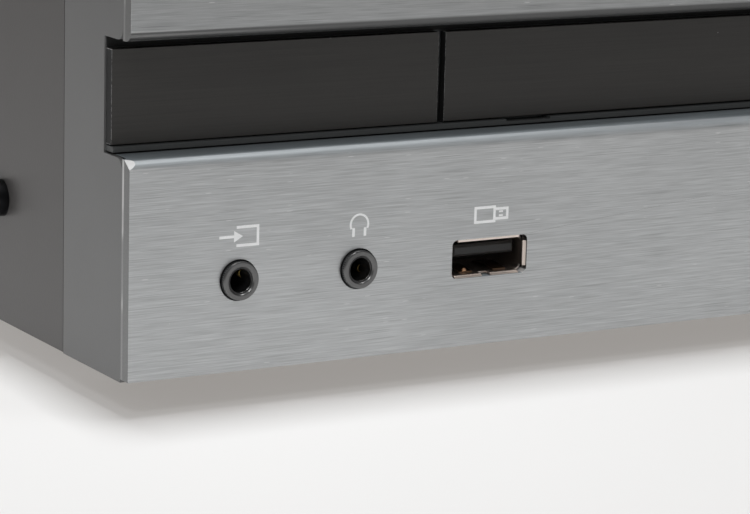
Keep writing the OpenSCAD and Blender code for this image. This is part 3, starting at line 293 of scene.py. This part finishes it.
def moulding(name, colour, roughness=0.45, grain=2.5, depth=0.02):
    """Moulded plastic with a fine grain from its tool."""
    plastic = Finish(name)
    pits = plastic.noise((grain, grain, grain), 4.0)
    flow = plastic.noise((0.06, 0.02, 0.06))
    shade = plastic.mix(0.4 * pits + 0.6 * flow, darker(colour, 0.8), darker(colour, 1.2))
    return plastic.lay(shade, roughness + 0.12 * pits, pits, depth)


def satin_black(name, ends):
    """The strip's dark panels: satin, faintly brushed along X, with a painted highlight broken along their
    edges, and ends of that colour.
    """
    panel = Finish(name)
    hairline = panel.noise((0.05, 4.0, 4.0), 2.0)
    cloud = panel.noise((0.02, 0.05, 0.05))
    dust = panel.specks((0.3, 0.3, 0.3), 0.045, 0.3)
    colour = panel.mix(0.6 * hairline + 0.4 * cloud, tone(24, 22, 20), tone(59, 57, 54))
    colour = panel.mix(dust * 0.7, colour, grey(180))
    sideways = panel.facing()
    side = panel.spread(sideways * sideways, 0.6, 0.9)
    edge_breaks = panel.spread(panel.noise((2.5, 2.5, 2.5)), 0.35, 0.6)
    painted_edge_highlight = panel.spread(sideways * sideways, 0.03, 0.2) * edge_breaks * (1 - side)
    # Painted highlight, near white, broken along the bevelled edges
    colour = panel.mix(painted_edge_highlight, colour, grey(245))
    colour = panel.mix(side, colour, ends)
    return panel.lay(colour, 0.36 + 0.14 * hairline + 0.45 * side, hairline, 0.012)


def bare_metal(name, colour, roughness, per_mm=(0.5, 0.5, 0.5)):
    """Plain or plated metal: marks, so many per millimetre along each axis, and a few darker spots."""
    metal = Finish(name, metallic=1.0)
    marks = metal.noise(per_mm, 3.0)
    cloud = metal.noise((0.15, 0.15, 0.15))
    spots = metal.specks((0.8, 0.8, 0.8), 0.12, 0.1)
    shade = metal.mix(0.6 * marks + 0.4 * cloud, darker(colour, 0.82), darker(colour, 1.1))
    shade = metal.mix(spots * 0.4, shade, darker(colour, 0.45))
    return metal.lay(shade, roughness + 0.15 * cloud, marks, 0.008)


def plated_sheet(name, colour):
    """Zinc-plated sheet: pale crystals under a faint haze."""
    sheet = Finish(name, metallic=1.0)
    sockets = {"Vector": sheet.stretched((0.2, 0.2, 0.2)), "Scale": 1.0}
    crystal = sheet.add("ShaderNodeTexVoronoi", None, sockets)
    facet = sheet.add("ShaderNodeSeparateColor", None, {0: crystal.other("Color")})
    haze = sheet.noise((0.6, 0.6, 0.6), 3.0)
    shade = sheet.mix(0.5 * facet + 0.5 * haze, darker(colour, 0.8), darker(colour, 1.12))
    return sheet.lay(shade, 0.3 + 0.2 * facet, haze, 0.01)


def circuit_board(name, mask, copper):
    """A circuit board: solder mask over a maze of tracks, with small pads."""
    board = Finish(name)
    sockets = {"Vector": board.stretched((0.45, 0.45, 0.45)), "Scale": 1.0}
    maze = board.add("ShaderNodeTexVoronoi", {"feature": "DISTANCE_TO_EDGE"}, sockets)
    track = 1 - board.spread(maze, 0.05, 0.09)
    pads = board.specks((0.4, 0.4, 0.4), 0.2, 0.5)
    weave = board.noise((3, 3, 3))
    shade = board.mix(weave, darker(mask, 0.85), darker(mask, 1.12))
    shade = board.mix(track * 0.55, shade, copper)
    shade = board.mix(pads, shade, tone(190, 190, 182))
    return board.lay(shade, 0.4 - 0.1 * track, track, 0.03)


def rubber(name, colour):
    """Dull rubber with fine pores."""
    soft = Finish(name)
    pores = soft.noise((4, 4, 4), 4.0)
    bloom = soft.noise((0.2, 0.2, 0.2))
    shade = soft.mix(0.5 * pores + 0.5 * bloom, darker(colour, 0.75), darker(colour, 1.25))
    return soft.lay(shade, 0.72 + 0.16 * pores, pores, 0.04)


def smoked_window():
    """The display's smoked window: dark, half clear and polished, with faint wiping marks."""
    glass = Finish("smoked_window", alpha=0.45, ior=1.49)
    wipe = glass.noise((0.05, 0.4, 0.4), 3.0)
    colour = glass.mix(wipe, tone(14, 15, 16), tone(22, 23, 25))
    return glass.lay(colour, 0.03 + 0.05 * wipe)


def laminations():
    """The transformer's varnished iron plates, stacked along Z."""
    iron = Finish("laminations", metallic=0.35)
    plates = iron.noise((0.05, 0.05, 2.4))
    varnish = iron.noise((0.4, 0.4, 0.4), 3.0)
    shade = iron.mix(plates, tone(58, 42, 30), tone(132, 98, 66))
    return iron.lay(shade, 0.35 + 0.25 * varnish, plates, 0.06)


def flat_cable():
    """White flat cable with its row of wires along Y."""
    cable = Finish("flat_cable")
    wires = cable.noise((2.2, 0.01, 0.2), 0.0)
    shade = cable.mix(wires, tone(205, 204, 196), tone(238, 238, 234))
    return cable.lay(shade, 0.45 + 0.1 * wires, wires, 0.05)


def ink(name, colour):
    """Screen-printed ink, slightly uneven."""
    film = Finish(name)
    cover = film.noise((2.5, 2.5, 2.5), 3.0)
    shade = film.mix(cover, darker(colour, 0.92), darker(colour, 1.05))
    return film.lay(shade, 0.5 + 0.1 * cover, cover, 0.006)


finishes = {
    "brushed_plate": brushed_aluminium("brushed_aluminium", 1.0, 0.75),
    "bezel_paint": paint("bezel_grey", tone(107, 107, 107), 0.3, 3.0, 0.01, 0.15),
    "cover_paint": paint("cover_grey", tone(82, 80, 79), 0.34, 2.2, 0.015),
    # Its ends are near black, darker than its face: painted shade
    "strip_black": satin_black("satin_black", grey(12)),
    "frame_black": moulding("frame_moulding", tone(76, 78, 78), 0.5, 3.5, 0.05),
    "window_smoke": smoked_window(),
    "display_dark": moulding("display_glass", tone(26, 29, 31), 0.2, 1.0, 0.005),
    "board_green": circuit_board("green_board", tone(32, 92, 50), tone(58, 128, 74)),
    "board_tan": circuit_board("tan_board", tone(158, 122, 72), tone(120, 88, 50)),
    "knob_metal": turned_aluminium(),
    "key_silver": paint("key_silver", tone(176, 178, 180), 0.32, 3.5, 0.01, 0.75),
    "shaft_steel": bare_metal("ground_shaft", tone(186, 186, 186), 0.22, (3, 0.1, 3)),
    "black_plastic": moulding("black_moulding", tone(34, 34, 34)),
    "jack_plastic": moulding("jack_moulding", tone(30, 30, 31), 0.4),
    "socket_steel": bare_metal("socket_tin", tone(228, 216, 207), 0.24, (0.6, 0.1, 0.6)),
    "chassis_zinc": plated_sheet("chassis_zinc", tone(176, 179, 182)),
    "foot_plastic": moulding("foot_moulding", tone(36, 36, 36), 0.55),
    "pad_rubber": rubber("foot_pad_rubber", tone(58, 56, 54)),
    "screw_black": bare_metal("black_screw_plating", tone(52, 52, 54), 0.32, (1.5, 1.5, 1.5)),
    "sink_metal": bare_metal("extruded_sink", tone(178, 181, 183), 0.34, (2.5, 2.5, 0.03)),
    "core_iron": laminations(),
    "can_tin": bare_metal("tinned_can", tone(196, 198, 198), 0.26, (0.4, 0.4, 0.1)),
    "contact_gold": bare_metal("gold_flash", tone(214, 182, 110), 0.22, (1.2, 0.2, 1.2)),
    "lever_red": moulding("lever_red", tone(172, 34, 28), 0.35),
    "lever_black": moulding("lever_black", tone(38, 38, 39), 0.35),
    "pin_metal": bare_metal("nickel_pin", tone(200, 196, 184), 0.25, (1.5, 0.2, 1.5)),
    "ribbon_white": flat_cable(),
    "loader_grey": moulding("loader_moulding", tone(62, 64, 66), 0.5),
    "tray_black": moulding("tray_moulding", tone(42, 42, 43), 0.5, 3.5, 0.03),
    "motor_steel": bare_metal("motor_can", tone(180, 182, 184), 0.25, (0.2, 0.2, 1.2)),
    "gear_white": moulding("gear_acetal", tone(224, 220, 206), 0.38, 1.5),
    "belt_rubber": rubber("belt_rubber", tone(26, 26, 26)),
    "deck_grey": moulding("deck_moulding", tone(88, 92, 94), 0.5),
    "rod_chrome": bare_metal("rod_chrome", tone(212, 212, 216), 0.08, (2.5, 0.05, 2.5)),
    "sled_metal": bare_metal("cast_sled", tone(148, 152, 156), 0.42, (1.2, 1.2, 1.2)),
    "bridge_steel": plated_sheet("bridge_plating", tone(170, 172, 175)),
}


def dress_nodes():
    """Gives each CAD node its slot's finish, but the upper plate a darker copy of the plate metal, which is
    painted shade, and the panel paler ends.
    """
    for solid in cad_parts.values():
        for holder in solid.material_slots:
            holder.material = finishes[holder.material.name].material
    # The upper plate's copy of the plate metal, with its light at 0.8: painted shade
    upper = brushed_aluminium("upper_aluminium", 0.8, 0.0)
    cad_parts["upper_fascia"].material_slots[0].material = upper.material
    panel = satin_black("panel_black", grey(50))
    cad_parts["strip_panel"].material_slots[0].material = panel.material


# Nodes of one kind, and the nodes whose edges are broken, by the radius in millimetres
buttons = [f"{key}_button" for key in ("power", "source", "previous", "play", "next", "eject")]
levers = [f"speaker_lever_{i}" for i in (1, 2, 3, 4)]
jacks = ["line_in_jack", "headphone_jack"]
edge_radii = {
    0.08: ["usb_tongue", "rca_shells"],
    0.1: ["upper_fascia", "lower_fascia", "rear_panel", "case_screws"],
    0.12: ["disc_tray"],
    0.15: ["strip_panel", "tray_door", "display_window"],
    0.2: ["front_bezel"],
    0.3: ["feet", "speaker_block", "mains_inlet"] + levers,
    0.35: jacks + buttons,
    0.7: ["volume_knob"],
}


def break_edges(solid, radius):
    """Rounds a solid's sharp edges a little, in millimetres, so that they catch the light."""
    weld = solid.modifiers.new("weld", "WELD")
    weld.merge_threshold = 0.001 * mm
    edge = solid.modifiers.new("edge", "BEVEL")
    edge.width = radius * mm
    edge.segments = 3
    edge.limit_method = "ANGLE"
    edge.angle_limit = math.radians(40)
    edge.harden_normals = True


def break_node_edges():
    """Breaks the edges of the nodes that edge_radii lists."""
    for radius, nodes in edge_radii.items():
        for node in nodes:
            break_edges(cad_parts[node], radius)


# Studio

def softbox(name, place, aim, width, height, power, spread=180):
    """A rectangular studio lamp at a place, facing a point, its beam so many degrees wide."""
    lamp = bpy.data.lights.new(name, "AREA")
    lamp.shape = "RECTANGLE"
    lamp.size = width
    lamp.size_y = height
    lamp.energy = power
    lamp.spread = math.radians(spread)
    holder = bpy.data.objects.new(name, lamp)
    scene.collection.objects.link(holder)
    holder.location = place
    holder.rotation_euler = (Vector(place) - Vector(aim)).to_track_quat("Z", "Y").to_euler()


# The floor's own glow, and its paper, where the camera or a mirroring surface sees it
floor_glow = (0.312, 0.295, 0.279, 1)
floor_paper = (0.43, 0.439, 0.447, 1)


def add_floor():
    """A wide pale floor under the feet. Seen or mirrored, it glows faintly, as a sheet lit from below."""
    reach = 6.0
    mesh = bpy.data.meshes.new("floor")
    corners = [(-reach, -reach, 0), (reach, -reach, 0), (reach, reach, 0), (-reach, reach, 0)]
    mesh.from_pydata(corners, [], [(0, 1, 2, 3)])
    floor = bpy.data.objects.new("floor", mesh)
    scene.collection.objects.link(floor)
    card = Finish("floor_card", emission_strength=1.0)
    fibre = card.noise((0.02, 0.02, 0.02), 3.0)
    ray = card.add("ShaderNodeLightPath", out="Is Camera Ray")
    seen = ray + ray.other("Is Glossy Ray") + ray.other("Is Transmission Ray")
    seen = card.spread(seen, 0.0, 1.0)
    paper = card.mix(fibre, tone(234, 234, 234), tone(237, 237, 237))
    card.join(card.shader.inputs["Emission Color"], card.mix(seen, (0, 0, 0, 1), floor_glow))
    mesh.materials.append(card.lay(card.mix(seen, paper, floor_paper), 0.7 + 0.1 * fibre).material)


def light_studio():
    """An even pale room, small lamps high over the front and its left corner, and two wide ones beside it."""
    world = bpy.data.worlds.new("room")
    scene.world = world
    world.use_nodes = True
    room = world.node_tree.nodes["Background"]
    room.inputs["Color"].default_value = (1.0, 1.0, 1.0, 1.0)
    room.inputs["Strength"].default_value = 0.28
    corner = (-0.1, -0.13, 0.037)
    ports = (-0.05, -0.13, 0.03)
    softbox("overhead_lamp", (-0.077, -0.09, 0.7), (-0.077, -0.09, 0), 0.057, 0.09, 0.62, 70)
    softbox("edge_lamp", (-0.135, -0.196, 0.7), corner, 0.04, 0.04, 0.42)
    softbox("front_lamp", (-0.7, -0.85, 1.05), ports, 0.25, 0.25, 2.5)
    softbox("right_lamp", (0.26, -0.35, 1.1), ports, 0.25, 0.25, 1.5)


# Mesh tools

class Face:
    """A flat face of the part: points on it are given across, upward and outward, in millimetres."""

    def __init__(self, middle, outward):
        self.middle = Vector(middle)
        self.outward = outward
        self.across = up.cross(outward)

    def point(self, across, rise, out=0.0):
        return self.middle + (self.across * across + up * rise + self.outward * out) * mm


class Piece:
    """A new piece, built from lofted solids in the part's frame."""

    def __init__(self, name):
        self.name = name
        self.mesh = bmesh.new()

    def loft(self, sections, looped=False):
        """Joins rings of points side by side, and closes the two ends unless the row loops."""
        rings = [[self.mesh.verts.new(point) for point in section] for section in sections]
        pairs = list(zip(rings, rings[1:]))
        if looped:
            pairs.append((rings[-1], rings[0]))
        else:
            self.mesh.faces.new(rings[0])
            self.mesh.faces.new(rings[-1])
        for first, second in pairs:
            for i in range(len(first)):
                self.mesh.faces.new((first[i - 1], first[i], second[i], second[i - 1]))

    def fill(self, face, outline):
        """A printed patch with that outline on a face."""
        self.loft([[face.point(u, v, out) for u, v in outline] for out in (ink_lift, -ink_lift)])

    def stroke(self, face, line, width, closed=False):
        """A printed line of that width along points of a face, mitred at its corners."""
        points = [Vector(point) for point in line]
        sections = []
        for i, here in enumerate(points):
            came = here - points[i - 1] if i or closed else points[1] - here
            goes = points[(i + 1) % len(points)] - here if closed or i + 1 < len(points) else came
            came.normalize()
            goes.normalize()
            side = (came + goes).orthogonal().normalized()
            side *= width / 2 / max(0.4, abs(side.dot(came.orthogonal())))
            edges = (here + side, here - side)
            ring = [face.point(*edges[0], ink_lift), face.point(*edges[1], ink_lift),
                    face.point(*edges[1], -ink_lift), face.point(*edges[0], -ink_lift)]
            sections.append(ring)
        self.loft(sections, closed)

    def turn(self, middle, axis, profile, steps=64):
        """A solid turned round an axis: its profile is (radius, distance along the axis) in millimetres."""
        first = axis.orthogonal().normalized()
        second = axis.cross(first)
        sections = []
        for i in range(steps):
            angle = 2 * math.pi * i / steps
            spoke = first * math.cos(angle) + second * math.sin(angle)
            sections.append([middle + (spoke * radius + axis * along) * mm for radius, along in profile])
        self.loft(sections, looped=True)

    def done(self, body, slot, finish=None, edge=0.0):
        """Makes the piece, lets it ride on a body, and rounds its edges by that many millimetres."""
        bmesh.ops.recalc_face_normals(self.mesh, faces=self.mesh.faces)
        mesh = bpy.data.meshes.new(self.name)
        self.mesh.to_mesh(mesh)
        self.mesh.free()
        mesh.materials.append((finish or finishes[slot]).material)
        piece = bpy.data.objects.new(self.name, mesh)
        scene.collection.objects.link(piece)
        if edge:
            break_edges(piece, edge)
        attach(piece, body)


def arc(across, rise, radius, start, stop, steps=24):
    """Points of an arc, its angles in degrees."""
    turns = [math.radians(start + (stop - start) * i / steps) for i in range(steps + 1)]
    return [(across + radius * math.cos(turn), rise + radius * math.sin(turn)) for turn in turns]


def rectangle(across, rise, width, height):
    """Corners of an upright rectangle round its middle."""
    return [(across + u * width / 2, rise + v * height / 2) for u, v in ((-1, -1), (1, -1), (1, 1), (-1, 1))]


def front_face(node):
    """The middle of a CAD node's foremost face."""
    middle = middle_of(node)
    return Face((middle.x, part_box(node)[0].y, middle.z), -back)


# Signs

# How far ink stands on its face, and the usual width of its lines, in millimetres
ink_lift = 0.03
line_width = 0.42
white_ink = ink("white_ink", tone(246, 247, 247))
dark_ink = ink("grey_ink", tone(58, 58, 60))


def arrow_in_sign(piece, face):
    """Sound in: an arrow that runs into an open box."""
    piece.stroke(face, [(-3.3, 0), (-0.9, 0)], line_width)
    piece.fill(face, [(-0.9, 0.85), (-0.9, -0.85), (0.55, 0)])
    piece.stroke(face, [(-0.5, 1.35), (3.0, 1.35), (3.0, -1.35), (-0.5, -1.35)], line_width)


def headphones_sign(piece, face):
    """A headband over two ear cushions."""
    piece.stroke(face, arc(0, 0.2, 1.5, -25, 205, 32), 0.32)
    for side in (-1, 1):
        piece.fill(face, rectangle(side * 0.98, -0.95, 0.42, 1.3))


def stick_sign(piece, face):
    """A memory stick on its side: its body, and its plug with two slots."""
    piece.stroke(face, rectangle(-1.1, 0, 3.4, 2.2), line_width, closed=True)
    piece.stroke(face, [(0.81, 0.75), (2.9, 0.75), (2.9, -0.75), (0.81, -0.75)], line_width)
    for side in (-1, 1):
        piece.fill(face, rectangle(1.75, 0.3 * side, 0.7, 0.28))


def triangle(across, half, way):
    """A triangle that points along its row, 1 to the right and -1 to the left."""
    return [(across - way * half, half), (across - way * half, -half), (across + way * half, 0)]


def power_sign(piece, face):
    piece.stroke(face, arc(0, -0.15, 1.6, 125, 415, 32), 0.4)
    piece.stroke(face, [(0, 0.1), (0, 1.9)], 0.4)


def source_sign(piece, face):
    """A list with its first line picked out."""
    for row in range(3):
        piece.stroke(face, [(-0.6, 0.8 - 0.8 * row), (1.6, 0.8 - 0.8 * row)], 0.34)
    piece.fill(face, triangle(-1.35, 0.42, 1))


def skip_sign(piece, face, way):
    for step in (-0.78, 0.68):
        piece.fill(face, triangle(way * step, 0.72, way))
    piece.fill(face, rectangle(way * 1.62, 0, 0.34, 1.44))


def previous_sign(piece, face):
    skip_sign(piece, face, -1)


def next_sign(piece, face):
    skip_sign(piece, face, 1)


def play_sign(piece, face):
    piece.fill(face, triangle(-0.8, 0.78, 1))
    for step in (0.7, 1.4):
        piece.fill(face, rectangle(step, 0, 0.36, 1.5))


def eject_sign(piece, face):
    piece.fill(face, [(-1.05, -0.15), (1.05, -0.15), (0, 0.95)])
    piece.fill(face, rectangle(0, -0.72, 2.1, 0.4))


def plus_sign(piece, face):
    piece.fill(face, rectangle(0, 0, 2.2, 0.5))
    for side in (-1, 1):
        piece.fill(face, rectangle(0, side * 0.675, 0.5, 0.85))


def minus_sign(piece, face):
    piece.stroke(face, [(-1.1, 0), (1.1, 0)], 0.5)


def aerial_sign(piece, face):
    piece.stroke(face, [(0, -1.8), (0, 0)], 0.4)
    piece.stroke(face, [(-1.5, 1.8), (0, 0.3), (1.5, 1.8)], 0.4)


def mains_sign(piece, face):
    """A wave, for alternating current."""
    wave = [(-2 + 4 * i / 24, 0.8 * math.sin(2 * math.pi * i / 24)) for i in range(25)]
    piece.stroke(face, wave, 0.45)


def print_sign(name, draw, face, body, slot, finish):
    piece = Piece(name)
    draw(piece, face)
    piece.done(body, slot, finish)


def print_front():
    """White signs over the ports, and dark ones on the keys and the power button."""
    sign_rise = 6.6 * mm
    plate_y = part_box("lower_fascia")[0].y
    ports = {"line_in_jack": arrow_in_sign, "headphone_jack": headphones_sign, "usb_shell": stick_sign}
    sign_z = middle_of("line_in_jack").z + sign_rise
    for port, draw in ports.items():
        face = Face((middle_of(port).x, plate_y, sign_z), -back)
        print_sign(port + "_sign", draw, face, "case", "gear_white", white_ink)
    draws = (power_sign, source_sign, previous_sign, play_sign, next_sign, eject_sign)
    for key, draw in zip(buttons, draws):
        print_sign(key + "_sign", draw, front_face(key), key, "black_plastic", dark_ink)
    knob = front_face("volume_knob")
    pointer = Piece("knob_pointer")
    pointer.stroke(knob, [(0, 11), (0, 17)], 1.3)
    pointer.done("knob", "black_plastic", dark_ink)


def print_rear():
    """White signs beside the rear sockets."""
    panel_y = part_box("rear_panel")[1].y
    above = 3.6 * mm
    block_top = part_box("speaker_block")[1].z
    for i, lever in enumerate(levers):
        draw = (plus_sign, minus_sign)[i % 2]
        face = Face((middle_of(lever).x, panel_y, block_top + above), back)
        print_sign(f"speaker_sign_{i + 1}", draw, face, "case", "gear_white", white_ink)
    for socket, draw in (("tuner_module", aerial_sign), ("mains_inlet", mains_sign)):
        face = Face((middle_of(socket).x, panel_y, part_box(socket)[1].z + above), back)
        print_sign(socket + "_sign", draw, face, "case", "gear_white", white_ink)


# Small parts of the sockets

# The jacks' bores lie a little over their bodies' middles, and the flat socket's mouth under its shell's top
jack_axis_z = middle_of("line_in_jack").z + 0.1 * mm
usb_axis_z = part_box("usb_shell")[1].z - 2.85 * mm
usb_wall = 0.3


def jack_mouth(jack):
    """The middle of a jack's bore on its front."""
    return Vector((middle_of(jack).x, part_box(jack)[0].y, jack_axis_z))


def jack_contacts():
    """A sprung gold contact at the right of each jack's bore, high in one and low in the other."""
    bow = ((1.5, 1.0), (1.2, 0.95), (1.02, 0.75), (0.98, 0.5), (1.06, 0.2), (1.3, -0.1))
    thick = 0.16
    near = 2.7
    far = 3.7
    for jack, side in zip(jacks, (1, -1)):
        mouth = jack_mouth(jack)
        leaf = Piece(jack + "_contact")
        sections = []
        for across, rise in bow:
            ring = [(across, near), (across + thick, near), (across + thick, far), (across, far)]
            sections.append([mouth + (right * u + up * rise * side + back * w) * mm for u, w in ring])
        leaf.loft(sections)
        leaf.done("case", "contact_gold", edge=0.03)


def jack_rims():
    """A dark nickel rim on the front of each jack, with a wide chamfer into its bore."""
    nickel = bare_metal("dark_nickel", tone(112, 112, 112), 0.22, (1.5, 1.5, 1.5))
    profile = [(1.76, -0.7), (1.76, -0.22), (2.12, 0.14), (2.22, 0.18), (2.68, 0.18), (2.82, 0.12), (2.9, 0),
               (2.9, -0.5), (2.6, -0.6), (2.0, -0.8)]
    for jack in jacks:
        rim = Piece(jack + "_rim")
        rim.turn(jack_mouth(jack), -back, profile)
        rim.done("case", "jack_plastic", nickel)


def usb_mouth():
    """The middle of the flat socket's front, and half its width and height in millimetres."""
    low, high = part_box("usb_shell")
    middle = Vector((middle_of("usb_shell").x, low.y, usb_axis_z))
    return middle, (high.x - low.x) / 2 / mm, (high.z - usb_axis_z) / mm


def usb_lips():
    """The flat socket's flared lips, with gaps at the corners. The top lip is straight for longest."""
    middle, half_width, half_height = usb_mouth()
    reach = (middle.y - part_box("lower_fascia")[0].y) / mm - 0.2
    flare = 0.13
    thinned = 0.08
    # How far a lip is bent at shares of its bent part
    bends = ((0, 0), (0.29, 0.15), (0.64, 0.6), (1, 1))
    lips = Piece("usb_lips")
    # For each lip: two directions, its wall's place, where it starts and stops, and its straight share
    sides = ((right, up, half_width, -1.95, 1.95, 0.58), (-right, up, half_width, -1.95, 1.95, 0.58),
             (up, right, half_height, -5.5, 5.4, 0.88), (-up, right, half_height, -5.9, -1.1, 0.58),
             (-up, right, half_height, 0.4, 5.4, 0.58))
    for outward, along, edge, start, stop, straight in sides:
        stations = [(0, 0)] + [(straight + (1 - straight) * share, bend) for share, bend in bends]
        sections = []
        for ahead, bend in stations:
            inner = edge - usb_wall + (usb_wall + flare - thinned) * bend
            outer = edge + flare * bend
            ring = [(inner, start), (outer, start), (outer, stop), (inner, stop)]
            sections.append([middle + (outward * u + along * v - back * reach * ahead) * mm for u, v in ring])
        lips.loft(sections)
    lips.done("case", "socket_steel", edge=0.02)


def usb_springs():
    """Two bowed springs on the flat socket's floor, the left one with a dimple."""
    middle, _, half_height = usb_mouth()
    floor = usb_wall - half_height
    left_spring = -3.1
    right_spring = 2.9
    half = 1.1
    thick = 0.16
    bow = ((0.2, 0.02), (0.5, 0.06), (1.6, 0.15), (2.6, 0.4), (3.8, 0.45), (5.4, 0.2), (6.4, 0.05))
    springs = Piece("usb_springs")
    for across in (left_spring, right_spring):
        sections = []
        for deep, rise in bow:
            foot = floor + rise
            ring = [(-half, foot), (half, foot), (half, foot + thick), (-half, foot + thick)]
            sections.append([middle + (right * (across + u) + up * v + back * deep) * mm for u, v in ring])
        springs.loft(sections)
    bronze = bare_metal("spring_bronze", tone(128, 104, 84), 0.3, (1.2, 0.2, 1.2))
    springs.done("case", "contact_gold", bronze)
    dimple = Piece("usb_spring_dimple")
    dome = [(0.02, 0.62), (0.28, 0.54), (0.45, 0.34), (0.48, 0.1), (0.4, 0), (0.02, 0)]
    dimple.turn(middle + (right * left_spring + up * (floor + 0.05) + back * 0.85) * mm, up, dome, 24)
    # The dimple's bronze is a much brighter copy of the springs' own: painted highlight
    dimple.done("case", "contact_gold", bare_metal("dimple_painted_highlight", tone(232, 184, 146), 0.2))


def phono_rings():
    """A white and a red insulator round the two phono sockets."""
    low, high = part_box("rca_shells")
    panel_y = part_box("rear_panel")[1].y
    radius = (high.x - low.x) / 2 / mm
    inner = radius + 0.12
    outer = radius + 1.5
    profile = [(inner, 0), (outer, 0), (outer, 0.7), (outer - 0.3, 1), (inner, 1)]
    heights = {"white": (high.z - radius * mm, "gear_white"), "red": (low.z + radius * mm, "lever_red")}
    for colour, (height, slot) in heights.items():
        ring = Piece(f"phono_ring_{colour}")
        ring.turn(Vector(((low.x + high.x) / 2, panel_y, height)), back, profile)
        ring.done("case", slot)


# Display

def display_segments():
    """Unlit seven-segment figures behind the window, two pairs with a colon."""
    face = front_face("display_module")
    pale = ink("unlit_segment", tone(156, 174, 168))
    high = 9.0
    wide = 5.0
    slant = 0.12
    bar = 0.9
    gap = 0.25
    tip = bar / 2
    figures = Piece("display_segments")

    def lean(points):
        return [(u + slant * v, v) for u, v in points]

    def upright(u, v):
        half = high / 4 - gap
        return [(u, v - half), (u + tip, v - half + tip), (u + tip, v + half - tip),
                (u, v + half), (u - tip, v + half - tip), (u - tip, v - half + tip)]

    def level(u, v):
        half = wide / 2 - gap
        return [(u - half, v), (u - half + tip, v - tip), (u + half - tip, v - tip),
                (u + half, v), (u + half - tip, v + tip), (u - half + tip, v + tip)]

    for place in (-13.5, -5.5, 5.5, 13.5):
        for rise in (-high / 2, 0, high / 2):
            figures.fill(face, lean(level(place, rise)))
        for side in (-1, 1):
            for rise in (-high / 4, high / 4):
                figures.fill(face, lean(upright(place + side * wide / 2, rise)))
    for rise in (-1.8, 1.8):
        figures.fill(face, lean(arc(0, rise, 0.6, 0, 345, 23)))
    figures.done("case", "display_dark", pale)


def strip_shade_sheet():
    """A near-black sheet across the slit over the strip's panels: painted shade where the slit lies in
    shadow.
    """
    low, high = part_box("strip_panel")
    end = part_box("tray_door")[1].x
    foot = high.z + 0.1 * mm
    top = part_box("upper_fascia")[0].z - 0.15 * mm
    rear = high.y
    front = rear - 0.25 * mm
    outline = ((front, foot), (rear, foot), (rear, top), (front, top))
    seal = Piece("strip_shade_sheet")
    seal.loft([[(x, y, z) for y, z in outline] for x in (low.x, end)])
    seal.done("case", "frame_black", rubber("painted_shade_black", tone(16, 16, 16)))


# The scene

add_camera()
dress_nodes()
break_node_edges()
print_front()
print_rear()
jack_contacts()
jack_rims()
usb_lips()
usb_springs()
phono_rings()
display_segments()
strip_shade_sheet()
add_floor()
light_studio()
